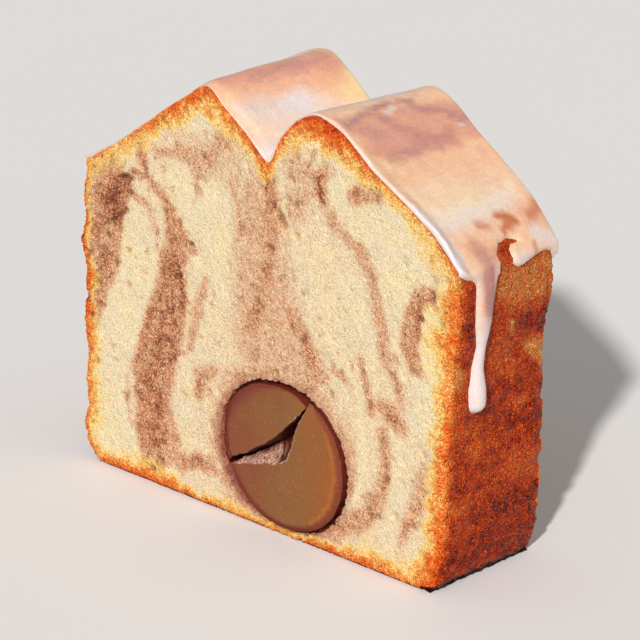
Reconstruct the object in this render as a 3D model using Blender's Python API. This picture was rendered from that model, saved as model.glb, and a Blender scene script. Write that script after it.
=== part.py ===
"""Slice of a marbled pound cake: two-crested loaf, glazed chestnut broken in two, thin icing.

Metres, +Z up. X runs across the loaf, the main cut faces -Y and the loaf runs along +Y.
The origin is in the middle of the foot.
"""
import math

import bmesh
import bpy
from mathutils import Vector, noise

MM = 0.001

# Driving dimensions
THICKNESS = 25.0 * MM         # from the front cut to the back cut
GAP = 0.3 * MM                # clearance between pieces that touch
HANG_GAP = 0.55 * MM          # clearance where the icing hangs down the bumpy sides
ICING_THICKNESS = 0.6 * MM    # of the sheet over the top
ICING_POOL = 1.2 * MM         # more of it in the cleft
DRIP_BULB = 1.1 * MM          # more of it at the foot of the long drip
CRUST_RELIEF = 0.35 * MM      # bumps of the baked sides
CRUST_WAVE = 7.0 * MM         # and how far apart they are
TOP_RELIEF = 0.15 * MM        # bumps under the icing

# Top of the loaf from the left shoulder to the right one, as (x, z) in millimetres.
# Both lists hold the same features: crests at places 5 and 11, the cleft at place 8.
TOP_FRONT = (
    (-42.5, 55.0), (-36.1, 58.8), (-29.0, 63.8), (-23.0, 68.0), (-17.5, 71.7), (-12.8, 74.3),
    (-8.5, 71.5), (-3.5, 68.0), (1.2, 64.4), (4.6, 69.4), (8.6, 73.2), (13.0, 74.6),
    (18.5, 72.7), (24.0, 68.7), (30.5, 65.3), (37.5, 60.9), (44.0, 55.4),
)
TOP_BACK = (
    (-42.3, 54.8), (-36.0, 58.8), (-29.0, 64.1), (-23.0, 68.8), (-17.0, 73.1), (-9.8, 75.6),
    (-5.4, 73.4), (-1.0, 69.9), (3.8, 65.4), (7.0, 69.2), (10.5, 72.7), (15.0, 74.4),
    (19.6, 72.5), (24.4, 69.0), (30.2, 65.1), (36.4, 60.6), (41.6, 54.8),
)
CLEFT_PLACE = 8

# Baked sides, as (height, x at the front cut, x at the back cut) in millimetres.
LEFT_SIDE = (
    (0.0, -41.5, -41.0), (2.5, -44.0, -43.2), (6.0, -45.3, -44.4), (10.0, -44.0, -44.2),
    (15.0, -44.5, -43.8), (20.0, -44.0, -44.4), (26.0, -44.5, -44.0), (31.0, -43.9, -43.3),
    (35.0, -43.5, -43.6), (37.5, -44.5, -44.2), (40.5, -45.3, -43.9), (44.0, -43.7, -43.2),
    (50.0, -44.0, -43.4), (55.5, -42.5, -42.3),
)
RIGHT_SIDE = (
    (0.0, 38.0, 37.3), (2.0, 39.4, 38.2), (6.0, 40.5, 39.3), (14.0, 41.5, 39.8),
    (22.0, 41.7, 40.2), (30.0, 42.2, 39.8), (38.0, 42.8, 39.8), (46.0, 43.5, 41.4),
    (52.0, 44.0, 41.8), (55.5, 44.0, 41.6),
)

# How many faces each direction of the crumb gets.
TOP_STEPS = 32
SIDE_STEPS = 22
DEPTH_STEPS = 12

# Lower edge of the icing at each station, as (distance behind the front cut, left edge height,
# right edge height) in millimetres. The long drip hangs between 4 and 9 mm, a lobe past 11 mm.
ICING_EDGE = (
    (0.0, 54.4, 55.0), (1.8, 53.8, 54.6), (3.6, 53.0, 53.6), (4.2, 52.8, 34.4), (5.4, 52.0, 32.2),
    (6.6, 50.8, 31.8), (7.8, 49.4, 34.0), (8.5, 48.2, 54.2), (9.9, 47.0, 54.8), (11.2, 48.6, 54.6),
    (13.2, 51.8, 53.4), (15.8, 53.4, 54.0), (18.4, 54.0, 54.2), (21.4, 54.2, 52.6), (25.0, 53.8, 52.6),
)
LEFT_ICING_STEPS = 3
RIGHT_ICING_STEPS = 8
SHOULDER_TURN = 3.0 * MM      # stretch over which the icing turns from lying to hanging
DRIP_LEAN = 0.045             # how far the drip swings to the front cut for each step down
BULB_START = 16.0 * MM        # below the shoulder, where the drip begins to swell
BULB_RISE = 6.0 * MM          # stretch over which it swells

# Chestnut, seen on the front cut, in millimetres.
CHESTNUT_CENTRE = (4.6, 14.1)
CHESTNUT_RADII = (14.4, 12.6)
CHESTNUT_SQUARENESS = 2.1     # 2 is a true oval
CHESTNUT_BACK_SCALE = 0.72    # size at the back cut
CHESTNUT_TAPER = 1.6          # above 1 it narrows late
CHESTNUT_STATIONS = 6
OVAL_STEP = 10.0              # degrees between the points of the oval
SMALL_SHRINK = 0.97           # the small piece sits a little inside the oval
SMALL_ARC = (75.0, 186.0)     # where each piece's skin starts and ends, in degrees
LARGE_ARC = (-164.0, 60.0)
LARGE_BREAK = [
    (11.5, 25.6), (9.8, 24.4), (8.2, 21.9), (6.7, 19.5), (6.1, 16.9), (5.0, 15.2),
    (2.4, 14.2), (-0.4, 13.1), (-4.7, 11.8),
]
SMALL_BREAK = [
    (-8.6, 11.9), (-5.2, 12.9), (-1.6, 14.5), (1.0, 15.8), (2.4, 17.0), (3.9, 18.7),
    (5.3, 20.2), (7.2, 21.9), (9.0, 24.3),
]
SMALL_BREAK_DEEP = [
    (-8.6, 11.3), (-4.8, 12.3), (-0.6, 13.6), (2.2, 14.7), (4.7, 15.7), (5.6, 17.1),
    (6.2, 19.7), (7.8, 22.2), (9.0, 24.3),
]
CRACK_CLOSES = 0.34           # depth at which the crack is down to a hair
CUTTER_REACH = 2.0 * MM       # how far the cutter passes both cuts

FLAT = 0.99999                # how closely a flat face's normal follows its axis

# Colours: base colour, roughness
CRUMB = ((0.83, 0.66, 0.42), 0.9)
FLESH = ((0.33, 0.17, 0.07), 0.35)
ICING = ((0.93, 0.76, 0.66), 0.2)


def clear_scene():
    for thing in list(bpy.data.objects):
        bpy.data.objects.remove(thing, do_unlink=True)


def new_collection(name):
    made = bpy.data.collections.new(name)
    bpy.context.scene.collection.children.link(made)
    return made


def new_material(name, look):
    colour, roughness = look
    made = bpy.data.materials.new(name)
    made.use_nodes = True
    shader = made.node_tree.nodes["Principled BSDF"]
    shader.inputs["Base Color"].default_value = (*colour, 1.0)
    shader.inputs["Roughness"].default_value = roughness
    shader.inputs["Metallic"].default_value = 0.0
    return made


def add_piece(name, bm, collection, material):
    mesh = bpy.data.meshes.new(name)
    bm.normal_update()
    bm.to_mesh(mesh)
    bm.free()
    mesh.shade_smooth()
    mesh.set_sharp_from_angle(angle=math.radians(40.0))
    piece = bpy.data.objects.new(name, mesh)
    if material:
        mesh.materials.append(material)
    collection.objects.link(piece)
    return piece


def blend(a, b, share):
    return a + (b - a) * share


def on_spline(points, place):
    """Point of a smooth curve through the points, at a fractional place in their list."""
    last = len(points) - 1
    start = min(int(place), last - 1)
    t = place - start
    before, a, b, after = (points[min(max(start + k, 0), last)] for k in (-1, 0, 1, 2))
    return tuple(
        0.5 * (2 * q + (r - p) * t + (2 * p - 5 * q + 4 * r - s) * t**2 + (3 * q - p - 3 * r + s) * t**3)
        for p, q, r, s in zip(before, a, b, after)
    )


def on_rows(rows, value):
    """Values of the second and third columns where the first one holds value."""
    if value <= rows[0][0]:
        return rows[0][1:]
    for low, high in zip(rows, rows[1:]):
        if value <= high[0]:
            share = (value - low[0]) / (high[0] - low[0])
            return tuple(blend(a, b, share) for a, b in zip(low[1:], high[1:]))
    return rows[-1][1:]


def bump(x, y, z, wave, height):
    return height * noise.fractal(Vector((x, y, z)) / wave, 1.0, 2.0, 2)


def side_at(rows, height, depth):
    front, back = on_rows(rows, height / MM)
    return blend(front, back, depth) * MM


def top_at(across, depth):
    """Place on the loaf's top: across from 0 to 1, depth from 0 to 1."""
    place = across * (len(TOP_FRONT) - 1)
    front = on_spline(TOP_FRONT, place)
    back = on_spline(TOP_BACK, place)
    x, z = (blend(a, b, depth) * MM for a, b in zip(front, back))
    return x, z + bump(x, depth * THICKNESS, z, CRUST_WAVE, TOP_RELIEF)


def depth_to_y(depth):
    return (depth - 0.5) * THICKNESS


def crumb_at(across, up, depth):
    """Place in the loaf: all three run from 0 to 1, from the left, the foot and the front cut."""
    left_x = top_at(0.0, depth)[0]
    right_x = top_at(1.0, depth)[0]
    x_top, z_top = top_at(across, depth)
    share = (x_top - left_x) / (right_x - left_x)
    z = up * z_top
    y = depth_to_y(depth)
    left = side_at(LEFT_SIDE, z, depth)
    right = side_at(RIGHT_SIDE, z, depth)
    rise = math.sin(math.pi * min(up, 1.0)) ** 0.5
    x = blend(left, right, share)
    x += bump(x, y, z, CRUST_WAVE, CRUST_RELIEF) * rise * (2.0 * share - 1.0) ** 3
    return Vector((x, y, z))


def cut_cube(counts):
    """Unit cube split into so many equal steps along each axis."""
    bm = bmesh.new()
    bmesh.ops.create_cube(bm, size=1.0)
    for axis, count in enumerate(counts):
        along = [e for e in bm.edges if abs(e.verts[0].co[axis] - e.verts[1].co[axis]) > 0.5]
        if count > 1:
            bmesh.ops.subdivide_edges(bm, edges=along, cuts=count - 1, use_grid_fill=True)
    for vertex in bm.verts:
        vertex.co += Vector((0.5, 0.5, 0.5))
    return bm


def merge_flat_faces(bm):
    """Makes each cut and the foot one face."""
    bm.normal_update()
    for way in (Vector((0, -1, 0)), Vector((0, 1, 0)), Vector((0, 0, -1))):
        flat = [f for f in bm.faces if f.normal.dot(way) > FLAT]
        bmesh.ops.dissolve_faces(bm, faces=flat, use_verts=False)


def oval_point(degrees, scale):
    a = math.radians(degrees)
    c, s = math.cos(a), math.sin(a)
    power = 2.0 / CHESTNUT_SQUARENESS
    x = CHESTNUT_CENTRE[0] + CHESTNUT_RADII[0] * scale * math.copysign(abs(c) ** power, c)
    z = CHESTNUT_CENTRE[1] + CHESTNUT_RADII[1] * scale * math.copysign(abs(s) ** power, s)
    return x, z


def oval_arc(start, end, scale):
    steps = round((end - start) / OVAL_STEP)
    return [oval_point(start + (end - start) * i / steps, scale) for i in range(steps + 1)]


def tunnel(outline, deep_outline):
    """Outline on the front cut, drawn back through the loaf and narrowed as it goes.

    Just behind the cut it takes the shape of the deep outline, point for point.
    """
    bm = bmesh.new()
    end = bm.faces.new([bm.verts.new() for _ in outline])
    centre_x, centre_z = CHESTNUT_CENTRE
    for station in range(CHESTNUT_STATIONS + 1):
        depth = station / CHESTNUT_STATIONS
        scale = 1.0 - (1.0 - CHESTNUT_BACK_SCALE) * depth**CHESTNUT_TAPER
        deep = min(depth / CRACK_CLOSES, 1.0)
        if station:
            made = bmesh.ops.extrude_face_region(bm, geom=[end])["geom"]
            if station > 1:
                bmesh.ops.delete(bm, geom=[end], context="FACES_KEEP_BOUNDARY")
            end = next(g for g in made if isinstance(g, bmesh.types.BMFace))
        for vertex, near, far in zip(end.verts, outline, deep_outline):
            x = centre_x + (blend(near[0], far[0], deep) - centre_x) * scale
            z = centre_z + (blend(near[1], far[1], deep) - centre_z) * scale
            vertex.co = (x * MM, depth_to_y(depth), z * MM)
    bmesh.ops.recalc_face_normals(bm, faces=bm.faces)
    return bm


def make_crumb(parts, cutters):
    bm = cut_cube((TOP_STEPS, DEPTH_STEPS, SIDE_STEPS))
    for vertex in bm.verts:
        across, depth, up = vertex.co
        vertex.co = crumb_at(across, up, depth)
    bmesh.ops.recalc_face_normals(bm, faces=bm.faces)
    merge_flat_faces(bm)
    cake = add_piece("cake", bm, parts, new_material("crumb", CRUMB))

    cut = cake.modifiers.new("chestnut_hollow", "BOOLEAN")
    cut.operation = "DIFFERENCE"
    cut.solver = "EXACT"
    cut.object = hollow_cutter(cutters)


def hollow_cutter(cutters):
    """Oval tunnel through the loaf, a gap wider than the chestnut and longer than the slice."""
    grown = 1.0 + GAP / MM / CHESTNUT_RADII[1]
    outline = oval_arc(0.0, 360.0 - OVAL_STEP, grown)
    bm = tunnel(outline, outline)
    for vertex in bm.verts:
        if abs(vertex.co.y) > 0.499 * THICKNESS:
            vertex.co.y += math.copysign(CUTTER_REACH, vertex.co.y)
    cutter = add_piece("chestnut_hollow", bm, cutters, None)
    cutter.hide_render = True
    cutter.display_type = "WIRE"
    return cutter


def make_chestnut(parts):
    flesh = new_material("chestnut_flesh", FLESH)
    small_skin = oval_arc(*SMALL_ARC, SMALL_SHRINK)
    small = tunnel(small_skin + SMALL_BREAK, small_skin + SMALL_BREAK_DEEP)
    add_piece("chestnut_small", small, parts, flesh)
    large_outline = oval_arc(*LARGE_ARC, 1.0) + LARGE_BREAK
    add_piece("chestnut_large", tunnel(large_outline, large_outline), parts, flesh)


def icing_base(step, station):
    """Spot on the loaf under the icing, the way out of the loaf there, and its thickness."""
    distance, left_edge, right_edge = ICING_EDGE[station]
    depth = distance * MM / THICKNESS
    across = min(max((step - LEFT_ICING_STEPS) / TOP_STEPS, 0.0), 1.0)
    shoulder_z = top_at(across, depth)[1]
    hang = 0.0
    if step < LEFT_ICING_STEPS:
        hang = (shoulder_z - left_edge * MM) * (1.0 - step / LEFT_ICING_STEPS)
    elif step > LEFT_ICING_STEPS + TOP_STEPS:
        past = step - LEFT_ICING_STEPS - TOP_STEPS
        hang = (shoulder_z - right_edge * MM) * past / RIGHT_ICING_STEPS
    spot = crumb_at(across, 1.0 - hang / shoulder_z, depth)
    spot.y -= DRIP_LEAN * max(hang - SHOULDER_TURN, 0.0)

    side = 1.0 if across > 0.5 else -1.0
    inwards = abs(spot.x - top_at(float(side > 0.0), depth)[0])
    turn = 0.5 + 0.5 * min(hang / SHOULDER_TURN, 1.0)
    if hang == 0.0:
        turn = 0.5 * max(1.0 - inwards / SHOULDER_TURN, 0.0)
    out = Vector((side * math.sin(turn * math.pi / 2), 0.0, math.cos(turn * math.pi / 2)))

    thickness = ICING_THICKNESS
    thickness += ICING_POOL * math.exp(-((across * (len(TOP_FRONT) - 1) - CLEFT_PLACE) ** 2))
    thickness += DRIP_BULB * min(max(hang - BULB_START, 0.0) / BULB_RISE, 1.0)
    gap = blend(GAP, HANG_GAP, min(hang / SHOULDER_TURN, 1.0))
    return spot, out, gap, thickness


def steepness(step, station):
    """How much longer a vertical offset is than a square one on the slopes of the top."""
    low = icing_base(max(step - 1, LEFT_ICING_STEPS), station)[0]
    high = icing_base(min(step + 1, LEFT_ICING_STEPS + TOP_STEPS), station)[0]
    run = high - low
    return run.length / max(abs(run.x), 1e-9)


def make_icing(parts):
    steps = LEFT_ICING_STEPS + TOP_STEPS + RIGHT_ICING_STEPS
    stations = len(ICING_EDGE) - 1
    bm = cut_cube((steps, stations, 1))
    for vertex in bm.verts:
        step = round(vertex.co.x * steps)
        station = round(vertex.co.y * stations)
        spot, out, gap, thickness = icing_base(step, station)
        lift = gap + thickness * vertex.co.z
        if LEFT_ICING_STEPS < step < LEFT_ICING_STEPS + TOP_STEPS:
            lift *= blend(1.0, steepness(step, station), out.z)
        vertex.co = spot + out * lift
    bmesh.ops.recalc_face_normals(bm, faces=bm.faces)
    add_piece("icing", bm, parts, new_material("icing", ICING))


def main():
    clear_scene()
    parts = new_collection("chestnut_pound_cake")
    cutters = new_collection("cutters")
    make_crumb(parts, cutters)
    make_chestnut(parts)
    make_icing(parts)


main()
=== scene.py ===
"""Slice of a marbled pound cake: open crumb, baked crust, broken chestnut and thin icing.

Every size is in millimetres until a piece is written, and then in metres. X runs across the
loaf, the main cut faces -Y and the loaf runs along +Y. The foot of the slice is at z = 0.
"""
import math
import random

import bmesh
import bpy
import numpy as np
from bpy.props import FloatProperty, FloatVectorProperty, PointerProperty
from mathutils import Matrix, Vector, kdtree, noise


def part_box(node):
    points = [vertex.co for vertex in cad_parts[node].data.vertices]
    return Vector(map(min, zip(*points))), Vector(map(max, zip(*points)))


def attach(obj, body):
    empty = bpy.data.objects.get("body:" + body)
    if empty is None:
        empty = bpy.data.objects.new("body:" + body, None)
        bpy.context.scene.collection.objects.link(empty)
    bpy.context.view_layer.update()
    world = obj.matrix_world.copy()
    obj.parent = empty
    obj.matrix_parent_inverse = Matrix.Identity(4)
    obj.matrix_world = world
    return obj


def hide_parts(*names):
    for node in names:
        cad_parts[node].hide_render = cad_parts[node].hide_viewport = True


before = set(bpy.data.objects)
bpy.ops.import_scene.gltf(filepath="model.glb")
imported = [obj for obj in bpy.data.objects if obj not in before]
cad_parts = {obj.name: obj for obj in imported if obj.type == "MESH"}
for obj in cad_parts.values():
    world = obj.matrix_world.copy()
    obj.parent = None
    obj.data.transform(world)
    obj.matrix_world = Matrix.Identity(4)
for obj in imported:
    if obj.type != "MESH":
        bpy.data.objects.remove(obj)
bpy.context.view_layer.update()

bl_info = {
    "name": "Marbled Cake Slice",
    "version": (1, 0, 0),
    "blender": (4, 5, 0),
    "location": "View3D > Sidebar > Cake",
    "description": "Models a slice of marbled cake with its crust, chestnut and icing",
    "category": "Object",
}

MM = 0.001
THICKNESS = (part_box("cake")[1].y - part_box("cake")[0].y) / MM
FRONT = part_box("cake")[0].y / MM
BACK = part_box("cake")[1].y / MM

# Top of the loaf from the left shoulder to the right one, as (x, z).
# Both lists hold the same features: crests at places 5 and 11, the cleft at place 8.
TOP_FRONT = (
    (-42.5, 55.0), (-36.1, 58.8), (-29.0, 63.8), (-23.0, 68.0), (-17.5, 71.7), (-12.8, 74.3),
    (-8.5, 71.5), (-3.5, 68.0), (1.2, 64.4), (4.6, 69.4), (8.6, 73.2), (13.0, 74.6),
    (18.5, 72.7), (24.0, 68.7), (30.5, 65.3), (37.5, 60.9), (44.0, 55.4),
)
TOP_BACK = (
    (-42.3, 54.8), (-36.0, 58.8), (-29.0, 64.1), (-23.0, 68.8), (-17.0, 73.1), (-9.8, 75.6),
    (-5.4, 73.4), (-1.0, 69.9), (3.8, 65.4), (7.0, 69.2), (10.5, 72.7), (15.0, 74.4),
    (19.6, 72.5), (24.4, 69.0), (30.2, 65.1), (36.4, 60.6), (41.6, 54.8),
)
CLEFT_PLACE = 8

# Baked sides, as (height, x at the front cut, x at the back cut).
LEFT_SIDE = (
    (0.0, -41.5, -41.0), (2.5, -44.0, -43.2), (6.0, -45.3, -44.4), (10.0, -44.0, -44.2),
    (15.0, -44.5, -43.8), (20.0, -44.0, -44.4), (26.0, -44.5, -44.0), (31.0, -43.9, -43.3),
    (35.0, -43.5, -43.6), (37.5, -44.5, -44.2), (40.5, -45.3, -43.9), (44.0, -43.7, -43.2),
    (50.0, -44.0, -43.4), (55.5, -42.5, -42.3),
)
RIGHT_SIDE = (
    (0.0, 38.0, 37.3), (2.0, 39.4, 38.2), (6.0, 40.5, 39.3), (14.0, 41.5, 39.8),
    (22.0, 41.7, 40.2), (30.0, 42.2, 39.8), (38.0, 42.8, 39.8), (46.0, 43.5, 41.4),
    (52.0, 44.0, 41.8), (55.5, 44.0, 41.6),
)
SHOULDER = 55.0
CRUST_WAVE = 7.0
CRUST_RELIEF = 0.35
TOP_RELIEF = 0.15

# Crumb mesh and its relief, in millimetres.
CRUMB_STEPS = (190, 44, 150)  # faces across the loaf, along it and up it
ON_CUT = 1e-3                 # a vertex this near to a cut lies on it
SIDES_FROM = 30.0             # the baked sides lie further out than this
PORES = 2600                  # places tried for a pore on each cut
WEAR_REACH = 2.4              # how far the corners between cuts and crust are worn
BACK_WEAR = 0.45              # wear of the back corners against the front one on the right
LEFT_WEAR = 0.35
FOOT_WEAR = 0.55
BITE = 1.2                    # deepest crumbs broken out of the back corners
DRIP_MARGIN = 0.6             # the crust is smooth this far beside the drip

# Sizes of the crumb's patterns, in millimetres.
CRUMB_CLOUD = 6.0
CRUMB_CLUMP = 1.3
CRUMB_GRAIN = 0.36
CRUMB_SPECKLE = 0.23
CRUST_GRANULE = 0.52

# Cocoa batter on the front cut: strokes laid over each other, each with its share of cocoa,
# the width of its soft edge, and points as (x, z, half width).
BATTER = 0.10
COCOA_STROKES = (
    # middle of the slice and the batter round the chestnut
    (0.36, 6.0, ((-3, 61, 4), (-1, 52, 6), (0, 44, 6.5), (1, 36, 8), (5, 29, 9))),
    (0.39, 4.0, ((4.6, 14.1, 17.5),)),
    (0.22, 4.0, ((-24, 62, 3), (-14, 62, 4.5), (-4, 64, 4.5))),
    (0.34, 3.0, ((6, 67, 2.5), (9, 63, 3), (8, 58, 2.5))),
    # dark patch at the upper left
    (0.60, 1.8, ((-36.6, 55.4, 2.8), (-37.4, 52, 5.4), (-38.4, 48, 5.2), (-39.6, 44, 5.3), (-40.4, 39, 5.2),
                 (-40.4, 35, 4.6), (-41.2, 30.5, 3.0), (-42.5, 26, 1.6))),
    (0.84, 2.0, ((-33, 53.2, 1.4), (-35.4, 50.6, 2.4), (-36.4, 47.8, 2.6), (-35.6, 46.2, 1.6))),
    # pale band beside it
    (0.03, 1.4, ((-31, 48.2, 1.6), (-30.2, 45, 3.5), (-29.9, 40, 4.3), (-30.6, 35, 4.4), (-33, 30, 4.9),
                 (-35.2, 25, 5.2), (-36.6, 20, 4.9), (-37.2, 15, 4.5), (-36.3, 10, 5.0), (-35.3, 5, 5.0))),
    (0.44, 1.4, ((-33.6, 18, 0.5), (-33.4, 13.5, 0.6), (-32.6, 10.5, 0.4))),
    (0.47, 1.2, ((-31, 51.6, 0.7), (-28, 50.6, 0.7), (-26.4, 49, 0.6), (-25.4, 46.6, 0.5),
                 (-25.2, 43, 0.4))),
    # main brown streak
    (0.66, 1.6, ((-29.6, 61.5, 1.3), (-28.9, 59, 1.4), (-28.5, 56.4, 0.8))),
    (0.58, 1.3, ((-31, 55.4, 0.8), (-27.6, 55, 0.9), (-24.4, 53.2, 1.1), (-22.4, 51, 1.4))),
    (0.62, 1.7, ((-21.6, 49.5, 1.7), (-20.6, 46.5, 2.6), (-20.7, 43.6, 3.0), (-21.6, 40, 3.3),
                 (-22, 36, 4.0),
                 (-23.8, 30, 4.6), (-25.5, 25, 4.9), (-27, 20, 5.0), (-27, 15, 4.4), (-27.3, 10, 4.1),
                 (-27, 4, 3.0))),
    (0.56, 1.2, ((-19, 46, 1.4), (-16.6, 45.2, 0.9), (-14.8, 44.6, 0.4))),
    (0.74, 3.0, ((-21, 42, 1.4), (-21, 36, 2.0), (-24, 27, 2.2), (-27.5, 19, 2.2), (-27, 9, 2.0))),
    # pale batter right of it
    (0.03, 2.2, ((-20, 57, 2.6), (-15, 52.6, 4.2), (-11.5, 54, 4.2), (-11.5, 47, 3.4), (-12.8, 42, 3.0))),
    (0.06, 1.8, ((-10.5, 39, 2.0), (-12.6, 34, 2.0), (-15, 28, 2.4), (-17.6, 24, 1.8), (-19.4, 19, 1.4),
                 (-19.2, 13, 1.2))),
    (0.47, 1.6, ((-13.6, 40.5, 0.8), (-15.2, 36, 1.0), (-16, 32, 0.9), (-18, 27, 0.6))),
    (0.52, 2.2, ((-12, 25, 1.0), (-15, 23, 1.5), (-15.6, 19.6, 1.0))),
    (0.50, 1.6, ((-22.6, 13.5, 0.9), (-21.4, 10.5, 1.2), (-22.8, 6, 1.3))),
    (0.58, 2.0, ((-20, 6, 1.6), (-16, 7.6, 1.8), (-12.6, 7, 1.2))),
    (0.10, 1.6, ((-17.5, 4.4, 0.8), (-12, 4.2, 1.0))),
    # arcs under the left crest
    (0.44, 2.0, ((-25.5, 60.6, 0.5), (-22, 61.2, 1.0), (-18.6, 61.4, 1.4), (-15, 61.6, 1.9),
                 (-12.2, 61.8, 1.4))),
    (0.44, 1.6, ((-15.6, 60, 1.3), (-15.1, 57, 0.8), (-15, 55.4, 0.4))),
    (0.46, 2.0, ((-11.4, 62.8, 1.5), (-9.2, 65.4, 1.8), (-6.4, 67, 1.5))),
    (0.03, 1.8, ((-17, 66.6, 1.6), (-13, 67.6, 2.0))),
    (0.10, 1.4, ((-24.4, 62.6, 1.0), (-21.6, 63, 1.0))),
    # smudge under the cleft, with fainter ones below it
    (0.70, 2.0, ((1.4, 63.4, 1.3), (1.6, 60.4, 1.5))),
    (0.56, 2.2, ((2.2, 58, 1.6), (2.6, 54, 1.7), (1.6, 50, 1.2), (1, 45, 1.5), (-0.6, 40, 1.6),
                 (-2, 36, 1.6))),
    (0.56, 1.0, ((-7.2, 58.4, 0.4), (-5.8, 55.4, 0.4), (-5, 50, 0.3))),
    (0.56, 2.6, ((7, 39, 1.5), (10, 36, 2.0), (13, 31, 1.5))),
    (0.56, 1.2, ((7.2, 69, 0.6), (8.4, 66.6, 0.7))),
    (0.52, 1.2, ((10.4, 65, 0.5), (12.2, 68.4, 0.5))),
    # pale batter on the right
    (0.08, 2.4, ((12, 55, 2.6), (13.5, 48, 4.0), (16.5, 41, 3.6), (19, 36, 2.4))),
    (0.02, 2.2, ((17.5, 68, 2.0), (20, 60.5, 3.0), (28, 58.5, 4.8), (33, 53, 5), (36.5, 45, 3.2),
                 (37, 36, 3), (37, 28, 2.6))),
    (0.03, 2.0, ((20.5, 48, 2.6), (23, 42, 2.0), (25, 37, 1.2))),
    (0.03, 1.4, ((30, 46, 1.4), (30.5, 42, 1.4), (31.5, 36, 1.2))),
    # thin streak that curls over and runs down to the right
    (0.47, 1.7, ((14.8, 66.6, 0.9), (13.1, 64.2, 1.7), (13.1, 61.8, 1.6), (14.2, 59.8, 1.3),
                 (16.4, 57.8, 1.1), (19.2, 56, 1.1),
                 (22.2, 54, 1.4), (24.4, 51.4, 1.4), (25.5, 48.2, 1.3), (26.5, 44.4, 1.2), (27.5, 41, 1.3),
                 (28.4, 38.2, 1.3), (30, 35, 1.1), (31.6, 31.5, 0.9))),
    (0.70, 1.0, ((13.3, 65.4, 0.5), (13, 62.4, 0.6), (13.8, 60.4, 0.4))),
    (0.54, 1.5, ((20.2, 63, 1.2), (22.4, 64.2, 1.6), (25.4, 65, 1.5), (28, 66, 1.3))),
    # hook at the right
    (0.58, 1.4, ((38.4, 51.2, 1.3), (36.6, 51, 1.6), (35, 49.4, 1.8), (34, 47, 2.0), (33.3, 44, 2.1),
                 (33.3, 41, 2.1),
                 (34.2, 38.4, 1.5), (35.6, 37.4, 0.8))),
    (0.74, 1.4, ((38, 50.6, 0.7), (35.6, 48.6, 0.8), (34.6, 46, 0.8), (35.2, 43, 0.5))),
    # faint streaks at the lower right
    (0.52, 1.4, ((22.2, 36, 0.7), (23.4, 32.4, 0.9), (25, 27.6, 0.9))),
    (0.56, 2.6, ((27, 29, 1.4), (29.6, 28.6, 2.0), (31.4, 27, 1.4))),
    (0.55, 2.2, ((27.4, 24.5, 1.2), (28, 19, 1.3), (27, 14, 1.4), (24.6, 10, 1.8), (21, 6.6, 1.8),
                 (16, 4.6, 1.4))),
    (0.50, 1.2, ((16.2, 32.6, 0.7), (18.8, 31.8, 0.8))),
    (0.49, 2.4, ((37, 21, 1.2), (36, 16, 1.7), (34, 12, 1.4), (31.5, 7, 1.0))),
    (0.03, 1.3, ((21.4, 32, 0.7), (22.5, 26, 0.9), (23.4, 20, 1.0), (22.4, 14, 0.8), (19.6, 9.6, 0.6))),
    (0.04, 1.6, ((31, 23.6, 1.4), (31, 17, 1.4), (30, 10, 1.4), (29, 5, 1.0))),
)

# Browning of the cuts, as (place along the edge, width of the browned rim, browning at the edge).
BROWNED_TOP = (
    (-43, 2.6, 0.44), (-36, 3.0, 0.44), (-31, 3.3, 0.52), (-26, 3.4, 0.62), (-18, 3.8, 0.70),
    (-12, 5.0, 0.68),
    (-7, 3.8, 0.56), (-3, 2.8, 0.60), (1, 3.4, 0.66), (4, 3.2, 0.58), (8, 3.8, 0.66), (11, 4.2, 0.86),
    (14, 4.4, 0.92), (18, 3.8, 0.80), (22, 3.0, 0.64), (27, 2.4, 0.48), (32, 2.6, 0.38), (36, 5.6, 0.38),
    (40, 5.6, 0.42), (44, 3.4, 0.6),
)
BROWNED_LEFT = (
    (0, 6.0, 0.62), (3, 5.2, 0.60), (8, 4.4, 0.52), (14, 4.2, 0.50), (20, 4.2, 0.58), (24, 4.0, 0.72),
    (28, 3.4, 0.74),
    (34, 2.8, 0.80), (39, 2.4, 0.84), (43, 2.1, 0.82), (46, 2.0, 0.70), (52, 2.4, 0.52), (56, 2.6, 0.44),
)
BROWNED_RIGHT = (
    (0, 7.0, 0.88), (5, 5.8, 0.80), (10, 5.4, 0.68), (15, 5.2, 0.62), (20, 5.0, 0.62), (28, 5.0, 0.66),
    (34, 5.4, 0.62),
    (37, 5.6, 0.50), (40, 6.0, 0.56), (44, 6.6, 0.68), (50, 6.2, 0.66), (54, 5.4, 0.52),
)
BROWNED_FOOT = (
    (-43, 4.0, 0.56), (-36, 4.0, 0.74), (-30, 4.0, 0.76), (-22, 3.2, 0.80), (-16, 2.4, 0.62),
    (-8, 2.6, 0.64), (-2, 2.4, 0.64),
    (4, 2.0, 0.80), (10, 2.2, 0.78), (18, 3.2, 0.76), (24, 3.8, 0.76), (28, 4.0, 0.62), (34, 3.8, 0.50),
    (38, 3.4, 0.80),
)

YELLOW_SPOTS = ((0.27, 1.8, ((35.2, 60.8, 1.1), (37, 59.4, 1.5), (38.6, 57.6, 1.2))),)

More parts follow.
